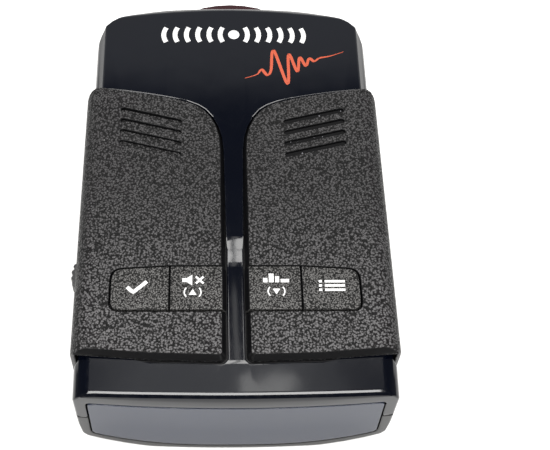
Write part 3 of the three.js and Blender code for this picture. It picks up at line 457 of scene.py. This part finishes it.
def metal(name, tint, roughness, pitch, depth, *, amount=0.12, tarnish=(0.25, 0.24, 0.22)):
    """Bare metal with a cast, rolled or plated face and dull patches."""
    made, tree, shader = material(name)
    base = mottled(tree, tint, 5 * MM, amount, roughness, 0.12)
    fine = eroded(tree, pitch)
    spots = specked(tree, 1.8 * MM, 0.2, 0.25)
    lines = use(tree, "hairlines", Pitch=0.25 * MM, Turn=0.2)["Mask"]
    mixed = tinge(tree, spots, 0.4, base["Colour"], tarnish)
    rough = maths(tree, "MULTIPLY_ADD", lines, 0.1, base["Roughness"], clamp=True)
    dress(tree, shader, mixed, rough, (fine, depth), Metallic=1.0)
    return made


def circuit_board(name):
    """Green lacquer over tracks, with tinned pads."""
    made, tree, shader = material(name)
    base = mottled(tree, colours().board, 6 * MM, 0.15, 0.32, 0.06)
    net = use(tree, "tracks", Pitch=2.4 * MM)
    mixed = tinge(tree, net["Track"], 0.6, base["Colour"], (0.02, 0.12, 0.05))
    mixed = blend(tree, net["Pad"], mixed, (0.55, 0.54, 0.5))
    height = maths(tree, "MAXIMUM", net["Track"], net["Pad"])
    dress(tree, shader, mixed, base["Roughness"], (height, 0.03 * MM))
    return made


def foam_finish(name):
    """Black closed-cell foam."""
    made, tree, shader = material(name)
    base = mottled(tree, (0.02, 0.02, 0.021), 3 * MM, 0.2, 0.92, 0.05)
    cells = use(tree, "pebble", Pitch=0.25 * MM)
    mixed = tinge(tree, cells["Crest"], 0.4, base["Colour"], (0.06, 0.06, 0.06))
    dress(tree, shader, mixed, base["Roughness"], (cells["Height"], 0.08 * MM))
    return made


def cloth_finish(name):
    """Fine black speaker cloth with dust caught in it."""
    made, tree, shader = material(name)
    base = mottled(tree, (0.005, 0.005, 0.0055), 2 * MM, 0.25, 0.85, 0.06)
    threads = use(tree, "weave", Pitch=0.3 * MM)
    dust = specked(tree, 0.85 * MM, 0.2, 0.7)
    mixed = blend(tree, threads["Hole"], base["Colour"], (0.003, 0.003, 0.003))
    mixed = tinge(tree, dust, 0.9, mixed, (0.24, 0.24, 0.26))
    dress(tree, shader, mixed, base["Roughness"], (threads["Height"], 0.05 * MM), Specular_IOR_Level=0.12)
    return made


def label_finish(name):
    """Silver-grey label film with a printed frame and blank panels."""
    made, tree, shader = material(name)
    low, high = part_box("rating_label")
    base = mottled(tree, (0.5, 0.5, 0.51), 9 * MM, 0.06, 0.36, 0.05)
    place = axes(tree, put(tree, "TexCoord").outputs["Object"])
    x, y = (
        maths(tree, "ABSOLUTE", maths(tree, "SUBTRACT", place[n], (low[n] + high[n]) / 2)) for n in (0, 1))
    half = (high - low) / 2
    reach = maths(tree, "MAXIMUM", maths(tree, "SUBTRACT", x, half.x), maths(tree, "SUBTRACT", y, half.y))
    line = maths(tree, "COMPARE", reach, -0.9 * MM, 0.12 * MM)
    inner = maths(tree, "LESS_THAN", reach, -1.8 * MM)
    rows = maths(tree, "FRACT", maths(tree, "DIVIDE", place[1], 6 * MM))
    bars = times(tree, maths(tree, "COMPARE", rows, 0.5, 0.02), inner)
    dark = maths(tree, "MAXIMUM", line, bars)
    mixed = tinge(tree, dark, 0.9, base["Colour"], (0.02, 0.02, 0.02))
    fine = eroded(tree, 0.3 * MM)
    dress(tree, shader, mixed, base["Roughness"], (fine, 0.003 * MM))
    return made


MAKERS = {
    "gloss_housing": gloss_housing,
    "satin_housing": lambda name: moulded(name, colours().satin, 0.26, 0.16 * MM, 0.004 * MM),
    "black_plastic": lambda name: moulded(name, (0.016, 0.016, 0.017), 0.38, 0.2 * MM, 0.012 * MM, wear=0.7),
    "grained_wing": lambda name: grained(name, colours().wing, sizes().grain_pitch, sizes().grain_depth),
    "grained_key": lambda name: grained(
        name, colours().key, sizes().key_grain_pitch, sizes().grain_depth * 0.6),
    "wing_edge": wing_edge,
    "smoked_window": lambda name: glassy(name, colours().smoke, 0.1),
    "dark_lens": lambda name: glassy(name, colours().lens, 0.06),
    "cast_metal": lambda name: metal(name, (0.42, 0.42, 0.43), 0.5, 0.5 * MM, 0.03 * MM),
    "tinned_steel": lambda name: metal(name, (0.66, 0.65, 0.62), 0.3, 0.3 * MM, 0.004 * MM, amount=0.08),
    "screw_steel": lambda name: metal(
        name, (0.16, 0.16, 0.17), 0.38, 0.2 * MM, 0.006 * MM, amount=0.15, tarnish=(0.3, 0.28, 0.26)),
    "magnet": lambda name: metal(name, (0.3, 0.3, 0.31), 0.45, 0.25 * MM, 0.015 * MM),
    "ceramic": lambda name: moulded(name, (0.5, 0.47, 0.4), 0.4, 0.3 * MM, 0.01 * MM, amount=0.1, wear=0.2),
    "cable_film": lambda name: moulded(
        name, (0.28, 0.13, 0.04), 0.3, 0.8 * MM, 0.004 * MM, amount=0.15, wear=0.0),
    "speaker_cone": lambda name: moulded(
        name, (0.03, 0.028, 0.026), 0.7, 0.4 * MM, 0.03 * MM, amount=0.25, wear=0.0),
    "speaker_cloth": cloth_finish, "foam": foam_finish, "circuit_board": circuit_board,
    "label_film": label_finish,
    "white_ink": lambda name: ink(name, colours().white_ink),
    "orange_ink": lambda name: ink(name, colours().orange_ink),
}


# ---------------------------------------------------------------- shapes
WING_FRONT = (-44 * MM, 29.1 * MM)  # y and z of the flat tops' front ends
WING_SLOPE = 0.03
CORNER = math.radians(32)  # edges that turn more than this stay sharp
THIN = 0.015 * MM  # slivers narrower than this are joined to a neighbour


def wing_height(y):
    """Height of the flat top of the wings, which climbs gently to the rear."""
    return WING_FRONT[1] + WING_SLOPE * (y - WING_FRONT[0])


def merged(node):
    """A closed copy of a CAD node's mesh, its flat faces whole again."""
    bm = bmesh.new()
    bm.from_mesh(NODES[node].data)
    bmesh.ops.remove_doubles(bm, verts=bm.verts, dist=0.002 * MM)
    bmesh.ops.dissolve_limit(
        bm, angle_limit=math.radians(0.4), verts=bm.verts, edges=bm.edges, use_dissolve_boundaries=False)
    bm.normal_update()
    return bm


def heal(bm, inside):
    """Joins each sliver inside a place to its flattest neighbour, then clears points on straight edges."""
    for _ in range(8):
        chosen, used = [], set()
        for face in bm.faces:
            longest = max(edge.calc_length() for edge in face.edges)
            wide = 2 * face.calc_area() > THIN * longest
            if face in used or wide or not inside(face.calc_center_median()):
                continue
            sides = [e for e in face.edges if len(e.link_faces) == 2 and e.calc_length() > 0.45 * longest]
            edge = min(sides, key=lambda e: e.calc_face_angle(3.0))
            if not used.intersection(edge.link_faces):
                chosen.append(edge)
                used.update(edge.link_faces)
        if not chosen:
            break
        bmesh.ops.dissolve_edges(bm, edges=chosen, use_verts=False, use_face_split=False)
        bm.normal_update()
    straight = []
    for vert in bm.verts:
        if len(vert.link_edges) == 2 and inside(vert.co):
            a, b = (e.other_vert(vert).co - vert.co for e in vert.link_edges)
            if a.angle(b, 0.0) > math.radians(179.3):
                straight.append(vert)
    bmesh.ops.dissolve_verts(bm, verts=straight)
    bm.normal_update()


def open_to_air(bm, edges):
    """Those of the edges that nothing of the same piece covers."""
    tree = BVHTree.FromBMesh(bm)
    found = []
    for edge in edges:
        out = (edge.link_faces[0].normal + edge.link_faces[1].normal).normalized()
        start = (edge.verts[0].co + edge.verts[1].co) / 2 + out * 0.05 * MM
        if tree.ray_cast(start, out)[0] is None:
            found.append(edge)
    return found


def sharp(bm, least=26.0):
    """Open outer corners of the mesh sharper than least degrees."""
    return open_to_air(bm, [
        e for e in bm.edges
        if len(e.link_faces) == 2 and e.is_convex and e.calc_face_angle(0.0) > math.radians(least)])


def rounded(bm, edges, radius, segments=3):
    """Rounds edges and marks the new faces as edge, for the wear."""
    layer = bm.faces.layers.float.get("rubbed") or bm.faces.layers.float.new("rubbed")
    edges = [e for e in edges if e.is_valid]
    made = bmesh.ops.bevel(
        bm, geom=edges, offset=radius, offset_type="OFFSET", segments=segments, profile=0.5, affect="EDGES",
        material=-1, clamp_overlap=False, miter_outer="SHARP")
    for face in made["faces"]:
        face[layer] = 1.0
    bm.normal_update()


def linked(name, bm):
    """An object in the scene from a bmesh."""
    mesh = bpy.data.meshes.new(name)
    bm.to_mesh(mesh)
    bm.free()
    made = bpy.data.objects.new(name, mesh)
    bpy.context.scene.collection.objects.link(made)
    return made


def piece(name, bm, look, body, *, replaces=(), crisp=None):
    """A finished object that rides on a body. crisp picks edges kept sharp at any angle."""
    many = [face for face in bm.faces if len(face.verts) > 4]
    bmesh.ops.triangulate(bm, faces=many, quad_method="BEAUTY", ngon_method="BEAUTY")
    bm.normal_update()
    for face in bm.faces:
        face.smooth = True
    for edge in bm.edges:
        turn = edge.calc_face_angle(0.0) if len(edge.link_faces) == 2 else math.pi
        edge.smooth = turn <= CORNER and not (crisp and crisp(edge, turn))
    made = linked(name, bm)
    made.data.materials.append(finish(look))
    even = made.modifiers.new("Even shading", "WEIGHTED_NORMAL")
    even.keep_sharp = True
    even.weight = 50
    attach(made, body)
    if replaces:
        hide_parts(*replaces)
    return made


def refined(node, name, look, body, radius, *, slot=None):
    """A CAD node again with its open corners rounded."""
    bm = merged(node)
    rounded(bm, sharp(bm), radius)
    return piece(name, bm, look, body, replaces=(node,))


def relook(look, *nodes):
    """Gives a finish to CAD nodes that are right as they are."""
    for node in nodes:
        data = NODES[node].data
        data.materials.clear()
        data.materials.append(finish(look))


def surface_under(*names):
    """Finds heights on finished pieces: returns a function of x and y."""
    trees = []
    for name in names:
        bm = bmesh.new()
        bm.from_mesh(bpy.data.objects[name].data)
        trees.append(BVHTree.FromBMesh(bm))
        bm.free()

    def height(x, y):
        hits = [t.ray_cast(Vector((x, y, 1.0)), Vector((0, 0, -1)))[0] for t in trees]
        hits = [h.z for h in hits if h is not None]
        if not hits:
            raise RuntimeError(f"nothing to print on at {x}, {y}")
        return max(hits)

    return height


def laid(bm, height, thick):
    """Thickens a flat symbol and lays it on a surface."""
    for face in bm.faces:
        if face.normal.z < 0:
            face.normal_flip()
    bmesh.ops.triangulate(bm, faces=bm.faces)
    bmesh.ops.subdivide_edges(
        bm, edges=[e for e in bm.edges if e.calc_length() > 1.5 * MM], cuts=2, use_grid_fill=True)
    walls = bmesh.ops.extrude_face_region(bm, geom=list(bm.faces))
    top = {v for v in walls["geom"] if isinstance(v, bmesh.types.BMVert)}
    for vert in bm.verts:
        lift = thick if vert in top else -thick
        vert.co.z = height(vert.co.x, vert.co.y) + lift
    bmesh.ops.recalc_face_normals(bm, faces=bm.faces)


def ribbon(bm, path, widths):
    """A flat band along a path of (x, y) points with a width at each, on z = 0."""
    left, right = [], []
    for i, (x, y) in enumerate(path):
        ax, ay = path[max(0, i - 1)]
        bx, by = path[min(len(path) - 1, i + 1)]
        run = math.hypot(bx - ax, by - ay)
        nx, ny = -(by - ay) / run, (bx - ax) / run
        half = widths[i] / 2
        left.append(bm.verts.new((x + nx * half, y + ny * half, 0)))
        right.append(bm.verts.new((x - nx * half, y - ny * half, 0)))
    first = [bm.edges.new((left[i], left[i + 1])) for i in range(len(left) - 1)]
    second = [bm.edges.new((right[i], right[i + 1])) for i in range(len(right) - 1)]
    bmesh.ops.bridge_loops(bm, edges=first + second)


def plate(bm, points):
    """A flat face on z = 0 from its corners."""
    bm.faces.new([bm.verts.new((x, y, 0)) for x, y in points])


def placed(x, y, points):
    """Points given in millimetres from x, y."""
    return [(x + a * MM, y + b * MM) for a, b in points]


def bar(bm, x, y, x0, x1, y0, y1):
    plate(bm, placed(x, y, [(x0, y0), (x1, y0), (x1, y1), (x0, y1)]))


# ---------------------------------------------------------------- operators
class Make:
    """Shared by the operators: one undo step, and an error where a piece can't be made."""

    bl_options = {"REGISTER", "UNDO"}

    def execute(self, context):
        self.make(context)
        return {"FINISHED"}


class DETECTOR_OT_stage(Make, Operator):
    """Pale floor, soft lights, camera"""

    bl_idname = "detector.stage"
    bl_label = "Stage"

    def make(self, context):
        scene = context.scene
        scene.view_settings.view_transform = "Standard"
        bm = bmesh.new()
        bmesh.ops.create_grid(bm, x_segments=8, y_segments=8, size=3.0)
        floor = linked("floor", bm)
        made, tree, shader = material("floor")
        base = mottled(tree, colours().floor, 0.4, 0.01, 0.9, 0.03)
        dress(tree, shader, base["Colour"], base["Roughness"], Specular_IOR_Level=0.1)
        floor.data.materials.append(made)

        world = bpy.data.worlds.new("Studio")
        world.use_nodes = True
        tree = world.node_tree
        tree.nodes.clear()
        _, back, up = axes(tree, put(tree, "TexCoord").outputs["Generated"])
        rear = times(tree, ramp(tree, back, 0.535, 0.575), 0.5)
        low = times(tree, ramp(tree, up, 0.42, 0.1), ramp(tree, back, 0.1, 0.6))
        above = times(tree, ramp(tree, up, 0.955, 0.985), 0.7)
        rest = maths(tree, "ADD", rear, maths(tree, "ADD", above, 0.06))
        lit = maths(tree, "MULTIPLY_ADD", low, 0.6, rest)
        seen = put(tree, "LightPath").outputs["Is Camera Ray"]
        lightness = maths(tree, "MAXIMUM", lit, seen)
        sky = put(tree, "Background", {"Color": (0.97, 0.985, 1.0, 1.0), "Strength": lightness})
        tree.links.new(sky.outputs[0], put(tree, "OutputWorld").inputs["Surface"])
        scene.world = world

        # the lamps' names, places, widths, depths and powers; the strips look straight down
        for name, place, wide, deep, power in (
            ("front softbox", (0.0, -0.67, 1.18), 0.99, 0.67, 27.4),
            ("left rear strip", (-0.107, 0.08, 0.45), 0.226, 0.07, 0.5),
            ("right rear strip", (0.1215, 0.08, 0.45), 0.216, 0.07, 0.45),
            ("left far strip", (-0.12, 0.145, 0.45), 0.2, 0.055, 0.4),
            ("right far strip", (0.142, 0.145, 0.45), 0.2, 0.055, 0.3),
            ("channel glow", (0.011, 0.145, 0.45), 0.014, 0.055, 0.0035),
            ("near wash", (0.03, -0.02, 0.46), 0.36, 0.13, 0.05),
            ("near strip", (0.04, 0.003, 0.45), 0.05, 0.022, 0.0096),
        ):
            lamp = bpy.data.lights.new(name, "AREA")
            lamp.shape, lamp.size, lamp.size_y, lamp.energy = "RECTANGLE", wide, deep, power
            lamp.color = (1.0, 0.99, 0.97)
            light = bpy.data.objects.new(name, lamp)
            scene.collection.objects.link(light)
            light.location = place
            below = Vector((*place[:2], 0)) if name != "front softbox" else Vector()
            aimed = below - light.location
            light.rotation_euler = aimed.to_track_quat("-Z", "Y").to_euler()

        tilt, yaw, roll = math.radians(57.5), math.radians(3.176), math.radians(2.683)
        ahead = Vector((math.sin(yaw) * math.cos(tilt), math.cos(yaw) * math.cos(tilt), -math.sin(tilt)))
        level = Vector((math.cos(yaw), -math.sin(yaw), 0))
        upright = level.cross(ahead)
        side = level * math.cos(roll) + upright * math.sin(roll)
        upright = upright * math.cos(roll) - level * math.sin(roll)
        lens = bpy.data.cameras.new("camera")
        lens.sensor_width, lens.lens, lens.shift_x = 36.0, 68.31, 0.0727
        lens.clip_start, lens.clip_end = 0.01, 20.0
        camera = bpy.data.objects.new("camera", lens)
        scene.collection.objects.link(camera)
        turn = Matrix((side, upright, -ahead)).transposed()
        camera.matrix_world = Matrix.Translation((-7.018 * MM, -138.991 * MM, 231.069 * MM)) @ turn.to_4x4()
        scene.camera = camera


LENS_SIDE = (10.35 * MM, 11.35 * MM)  # just outside the lens opening
CHANNEL = 2.9 * MM  # half width of the gap between the wings


class DETECTOR_OT_housing(Make, Operator):
    """Gloss upper half and satin lower half"""

    bl_idname = "detector.housing"
    bl_label = "Housing"

    def make(self, context):
        radius = sizes().shell_round
        bm = merged("upper_housing")
        near = DECK[0].y + 4 * MM
        heal(bm, lambda place: abs(place.x) < 4 * MM and place.y < near and place.z > DECK[1].z - 8 * MM)
        outer = sharp(bm)
        crease = [
            e for e in outer
            if e.verts[0].co.y < near and e.verts[1].co.y < near
            and min(f.normal.z for f in e.link_faces) > 0.2 and max(f.normal.z for f in e.link_faces) > 0.9
            and abs(e.verts[0].co.x - e.verts[1].co.x) > abs(e.verts[0].co.y - e.verts[1].co.y)]
        if not crease:
            raise RuntimeError("the deck's front edge was not found")
        rounded(bm, crease, sizes().crease_round, 7)
        rounded(bm, sharp(bm, 22.0), radius)

        # the rear wall is parted beside the lens, so that its shading stays even
        for across in (-LENS_SIDE[0], -LENS_SIDE[1], *LENS_SIDE):
            wall = [f for f in bm.faces if f.normal.y > 0.9 and f.calc_center_median().y > 50 * MM]
            edges = {e for f in wall for e in f.edges}
            corners = {v for f in wall for v in f.verts}
            bmesh.ops.bisect_plane(
                bm, geom=[*corners, *edges, *wall], dist=1e-6, plane_co=(across, 0, 0), plane_no=(1, 0, 0))

        def pocket_rim(edge, turn):
            """Edges of the pocket under the wings, so that no shading runs out from there."""
            if turn < math.radians(3) or min(abs(v.co.x) for v in edge.verts) < CHANNEL:
                return False
            flat = min(f.normal.z for f in edge.link_faces) > 0.95
            under = all(
                WING[0].y + 0.8 * MM < v.co.y < WING[1].y - 3 * MM
                and v.co.z > 25 * MM and abs(v.co.x) < 33 * MM
                for v in edge.verts)
            return flat or under

        # painted shade: the pocket floor under the wings takes the dull dark edge finish, where the gloss
        # would show through the gaps
        for face in bm.faces:
            middle = face.calc_center_median()
            below = wing_height(middle.y) - middle.z > 1.5 * MM
            covered = WING[0].y + 0.5 * MM < middle.y < WING[1].y and abs(middle.x) > 3 * MM
            if below and covered and face.normal.z > 0.9:
                face.material_index = 1
        made = piece(
            "upper_shell", bm, "gloss_housing", "housing", replaces=("upper_housing",), crisp=pocket_rim)
        made.data.materials.append(finish("wing_edge"))
        refined("lower_housing", "lower_shell", "satin_housing", "housing", radius)


KEY_ROOM = (-35 * MM, -19 * MM, 29.5 * MM)  # near, far and side limits of the keys' opening


class DETECTOR_OT_wings(Make, Operator):
    """Grained left and right wings"""

    bl_idname = "detector.wings"
    bl_label = "Wings"

    def make(self, context):
        for side in ("left", "right"):
            bm = merged(side + "_wing")
            rounded(bm, sharp(bm), sizes().wing_round)
            inward = 1 if side == "left" else -1
            # painted shade: the chamfers facing front and inward, and the walls by the keys, take the dull
            # dark edge finish, as they face away from the light
            for face in bm.faces:
                middle = face.calc_center_median()
                by_keys = KEY_ROOM[0] < middle.y < KEY_ROOM[1] and abs(middle.x) < KEY_ROOM[2]
                facing = face.normal.y < -0.3 or face.normal.x * inward > 0.3
                if -0.1 < face.normal.z < (0.9 if by_keys else 0.72) and (facing or by_keys):
                    face.material_index = 1
            made = piece(side + "_wing_panel", bm, "grained_wing", "housing", replaces=(side + "_wing",))
            made.data.materials.append(finish("wing_edge"))


class DETECTOR_OT_keys(Make, Operator):
    """Four keys with fine grain"""

    bl_idname = "detector.keys"
    bl_label = "Keys"

    def make(self, context):
        for key in KEYS:
            made = refined(
                f"key_{key}", f"key_cap_{key}", "grained_key", f"key_{key}", sizes().key_round,
                slot="grained_wing")
            made.data.materials.append(finish("wing_edge"))
            # painted shade: the keys' sides take the dull dark edge finish, so that the gaps between the keys
            # look black
            for face in made.data.polygons:
                if abs(face.normal.z) < 0.9 and face.normal.y > -0.5:
                    face.material_index = 1
            relook("black_plastic", f"switch_{key}", f"plunger_{key}")


class DETECTOR_OT_display(Make, Operator):
    """Smoked window with the display behind it"""

    bl_idname = "detector.display"
    bl_label = "Display"

    def make(self, context):
        refined("display_window", "smoked_pane", "smoked_window", "housing", sizes().fine_round)
        relook("foam", "display_foam")
        relook("black_plastic", "display_panel")
        relook("circuit_board", "display_board")
        relook("cable_film", "display_cable")


class DETECTOR_OT_lens(Make, Operator):
    """Rear lens with its sensor"""

    bl_idname = "detector.lens"
    bl_label = "Rear lens"

    def make(self, context):
        refined("laser_lens", "rear_lens", "dark_lens", "housing", sizes().fine_round * 2)
        relook("circuit_board", "laser_board")
        relook("black_plastic", "laser_sensor")


class DETECTOR_OT_wheel(Make, Operator):
    """Knurled volume wheel and its control"""

    bl_idname = "detector.wheel"
    bl_label = "Volume wheel"

    def make(self, context):
        refined("volume_wheel", "volume_thumbwheel", "black_plastic", "volume_wheel", sizes().fine_round)
        relook("tinned_steel", "volume_pot")


class DETECTOR_OT_sockets(Make, Operator):
    """Power and data sockets"""

    bl_idname = "detector.sockets"
    bl_label = "Sockets"

    def make(self, context):
        fine = sizes().fine_round
        refined("power_jack", "power_socket", "black_plastic", "housing", fine)
        refined("usb_shell", "data_socket_shell", "tinned_steel", "housing", fine * 0.6)
        relook("black_plastic", "usb_tongue")


class DETECTOR_OT_speaker(Make, Operator):
    """Speaker and the cloth behind the sound slots"""

    bl_idname = "detector.speaker"
    bl_label = "Speaker"

    def make(self, context):
        relook("black_plastic", "speaker_frame")
        relook("magnet", "speaker_magnet")
        relook("speaker_cone", "speaker_cone")
        relook("speaker_cloth", "speaker_mesh")


class DETECTOR_OT_slot_mesh(Make, Operator):
    """Fine dust mesh set into the four open sound slots"""

    bl_idname = "detector.slot_mesh"
    bl_label = "Slot mesh"

    def make(self, context):
        long, wide, thick = 15.1 * MM, 1.1 * MM, 0.2 * MM
        x, first, pitch, turn, sunk = 19.8 * MM, 19.9, 3.22, 0.253, 0.75 * MM
        bm = bmesh.new()
        for row in range(4):
            y = (first - pitch * row) * MM
            place = Matrix.Translation((x, y, wing_height(y) - sunk)) @ Matrix.Rotation(turn, 4, "Z")
            place @= Matrix.Diagonal((long, wide, thick, 1))
            made = bmesh.ops.create_cube(bm, size=1.0, matrix=place)
            ends = {
                e for v in made["verts"] for e in v.link_edges
                if abs(e.verts[0].co.z - e.verts[1].co.z) > thick / 2}
            bmesh.ops.bevel(
                bm, geom=list(ends), offset=wide * 0.49, offset_type="OFFSET", segments=4, profile=0.5,
                affect="EDGES", material=-1, clamp_overlap=True)
        if max(v.co.z for v in bm.verts) > WING[1].z:
            raise RuntimeError("the slot mesh stands above the wing")
        piece("sound_slot_mesh", bm, "speaker_cloth", "housing")


class DETECTOR_OT_inside(Make, Operator):
    """Boards, horn antenna, screening can and satellite antenna"""

    bl_idname = "detector.inside"
    bl_label = "Inside"

    def make(self, context):
        relook("circuit_board", "main_board")
        relook("cast_metal", "horn_antenna")
        relook("tinned_steel", "rf_shield")
        relook("ceramic", "gps_antenna")


class DETECTOR_OT_screws(Make, Operator):
    """Case, board and horn screws"""

    bl_idname = "detector.screws"
    bl_label = "Screws"

    def make(self, context):
        relook("screw_steel", *(node for node in NODES if "_screw_" in node))


class DETECTOR_OT_label(Make, Operator):
    """Blank rating label"""

    bl_idname = "detector.label"
    bl_label = "Label"

    def make(self, context):
        relook("label_film", "rating_label")


class DETECTOR_OT_deck_print(Make, Operator):
    """White wave mark and orange pulse line on the rear deck"""

    bl_idname = "detector.deck_print"
    bl_label = "Deck print"

    def make(self, context):
        deck = surface_under("upper_shell")
        given = sizes()
        middle_x, middle_y = 0.6 * MM, 45.2 * MM
        half, high = given.wave_length / 2, given.wave_high / 2
        bm = bmesh.new()
        middle = Matrix.Translation((middle_x, middle_y, 0))
        bmesh.ops.create_circle(bm, cap_ends=True, segments=32, radius=high * 0.62, matrix=middle)
        step = (half - high * 1.1) / given.wave_arcs
        for side in (-1, 1):
            for i in range(given.wave_arcs):
                at = high * 1.25 + step * i
                reach = high * 1.9
                open_half = math.asin(min(1.0, high / reach))
                path, widths = [], []
                for j in range(13):
                    a = -open_half + 2 * open_half * j / 12
                    path.append((middle_x + side * (at - reach * 0.86 + reach * math.cos(a)),
                                 middle_y + reach * math.sin(a)))
                    widths.append(step * 0.42)
                ribbon(bm, path, widths)
        laid(bm, deck, given.print_thick)
        piece("wave_mark", bm, "white_ink", "housing")

        beats = (
            (0.0, 0.0), (3.2, 0.15), (4.6, 1.3), (5.8, -0.9), (7.0, 0.3), (8.6, 6.4), (10.6, -5.4),
            (12.3, 3.9), (13.7, -2.3), (15.0, 2.0), (16.2, -1.2), (17.4, 0.9), (18.6, -0.4), (20.2, 0.2),
            (23.0, 0.0), (27.0, 0.35))
        scale = given.pulse_length / beats[-1][0]
        lean = math.radians(19)
        path = []
        for k in range(len(beats) - 1):
            four = [beats[max(0, min(len(beats) - 1, k + n))] for n in (-1, 0, 1, 2)]
            for step in range(10):
                t = step / 10
                along, across = (
                    four[1][n] + 0.5 * t * (
                        four[2][n] - four[0][n] + t * (
                            2 * four[0][n] - 5 * four[1][n] + 4 * four[2][n] - four[3][n]
                            + t * (3 * (four[1][n] - four[2][n]) + four[3][n] - four[0][n])))
                    for n in (0, 1))
                across *= 0.92
                along += across * 0.22
                path.append((3.2 * MM + (along * math.cos(lean) - across * math.sin(lean)) * scale,
                             31.4 * MM + (along * math.sin(lean) + across * math.cos(lean)) * scale))
        widths = []
        for i in range(len(path)):
            (ax, ay), (bx, by) = path[max(0, i - 1)], path[min(len(path) - 1, i + 1)]
            steep = abs(math.sin(math.atan2(by - ay, bx - ax) - math.radians(30)))
            taper = min(1.0, 0.3 + 5 * min(i, len(path) - 1 - i) / len(path))
            widths.append((0.38 + 0.42 * steep) * taper * MM)
        bm = bmesh.new()
        ribbon(bm, path, widths)
        laid(bm, deck, given.print_thick)
        piece("pulse_line", bm, "orange_ink", "housing")


class DETECTOR_OT_key_print(Make, Operator):
    """White symbols on the keys"""

    bl_idname = "detector.key_print"
    bl_label = "Key print"

    def make(self, context):
        def tick(bm, x, y):
            corners = [(-2.1, 0.15), (-0.75, -1.15), (2.2, 1.5)]
            points = []
            for (ax, ay), (bx, by) in zip(corners, corners[1:]):
                points += [(ax + (bx - ax) * k / 6, ay + (by - ay) * k / 6) for k in range(6)]
            points.append(corners[-1])
            ribbon(bm, placed(x, y, points), [0.85 * MM] * len(points))

        def bracketed(bm, x, y, way):
            """A small arrow, up or down, in brackets."""
            arrow = [(-0.85, -way * 0.65), (0.85, -way * 0.65), (0, way * 0.75)]
            plate(bm, placed(x, y, arrow)[::way])
            turns = [math.radians(-46 + 92 * k / 8) for k in range(9)]
            for side in (-1, 1):
                path = [(side * (0.35 + 1.5 * math.cos(a)), 1.5 * math.sin(a)) for a in turns]
                ribbon(bm, placed(x, y, path), [0.3 * MM] * 9)

        def crossed_speaker(bm, x, y):
            plate(bm, placed(
                x, y, ((-2.3, -0.5), (-1.3, -0.5), (-0.1, -1.3), (-0.1, 1.3), (-1.3, 0.5), (-2.3, 0.5))))
            for way in (-1, 1):
                path = [(0.7 + 1.7 * k / 6, way * (-0.85 + 1.7 * k / 6)) for k in range(7)]
                ribbon(bm, placed(x, y, path), [0.5 * MM] * 7)

        def bars(bm, x, y):
            for a, b, high in ((-2.9, -1.9, 1.0), (-1.6, -0.5, 2.1), (-0.2, 0.7, 1.4), (1.0, 2.9, 0.75)):
                bar(bm, x, y, a, b, -1.1, high - 1.0)

        def list_lines(bm, x, y):
            for row in (-1.05, 0.0, 1.05):
                bar(bm, x, y, -2.9, -2.2, row - 0.3, row + 0.3)
                bar(bm, x, y, -1.6, 2.9, row - 0.3, row + 0.3)

        for key, draw in (
            ("confirm", lambda bm: tick(bm, -21.8 * MM, -27.25 * MM)),
            ("up", lambda bm: (
                crossed_speaker(bm, -9.5 * MM, -25.4 * MM), bracketed(bm, -9.5 * MM, -28.4 * MM, 1))),
            ("down", lambda bm: (
                bars(bm, 8.95 * MM, -24.9 * MM), bracketed(bm, 8.95 * MM, -28.2 * MM, -1))),
            ("mode", lambda bm: list_lines(bm, 21.3 * MM, -26.8 * MM)),
        ):
            bm = bmesh.new()
            draw(bm)
            laid(bm, surface_under(f"key_cap_{key}"), sizes().print_thick)
            piece(f"key_symbol_{key}", bm, "white_ink", f"key_{key}")


OPERATORS = (
    DETECTOR_OT_stage, DETECTOR_OT_housing, DETECTOR_OT_wings, DETECTOR_OT_keys, DETECTOR_OT_display,
    DETECTOR_OT_lens, DETECTOR_OT_wheel, DETECTOR_OT_sockets, DETECTOR_OT_speaker, DETECTOR_OT_slot_mesh,
    DETECTOR_OT_inside, DETECTOR_OT_screws, DETECTOR_OT_label, DETECTOR_OT_deck_print, DETECTOR_OT_key_print,
)


class DETECTOR_PT_panel(Panel):
    """Lists the detector's settings and pieces"""

    bl_idname = "DETECTOR_PT_panel"
    bl_label = "Radar Detector"
    bl_space_type = "VIEW_3D"
    bl_region_type = "UI"
    bl_category = "Detector"

    def draw(self, context):
        layout = self.layout
        for heading, settings in (
            ("Sizes", context.scene.detector_sizes), ("Colours", context.scene.detector_colours)):
            box = layout.box()
            box.label(text=heading)
            for name in settings.__annotations__:
                box.prop(settings, name)
        for operator in OPERATORS:
            layout.operator(operator.bl_idname)


CLASSES = (DetectorSizes, DetectorColours, *OPERATORS, DETECTOR_PT_panel)


def register():
    for kind in CLASSES:
        bpy.utils.register_class(kind)
    bpy.types.Scene.detector_sizes = PointerProperty(type=DetectorSizes)
    bpy.types.Scene.detector_colours = PointerProperty(type=DetectorColours)


def unregister():
    del bpy.types.Scene.detector_colours
    del bpy.types.Scene.detector_sizes
    for kind in reversed(CLASSES):
        bpy.utils.unregister_class(kind)


def main():
    register()
    for operator in OPERATORS:
        area, name = operator.bl_idname.split(".")
        getattr(getattr(bpy.ops, area), name)()


if __name__ == "__main__":
    main()
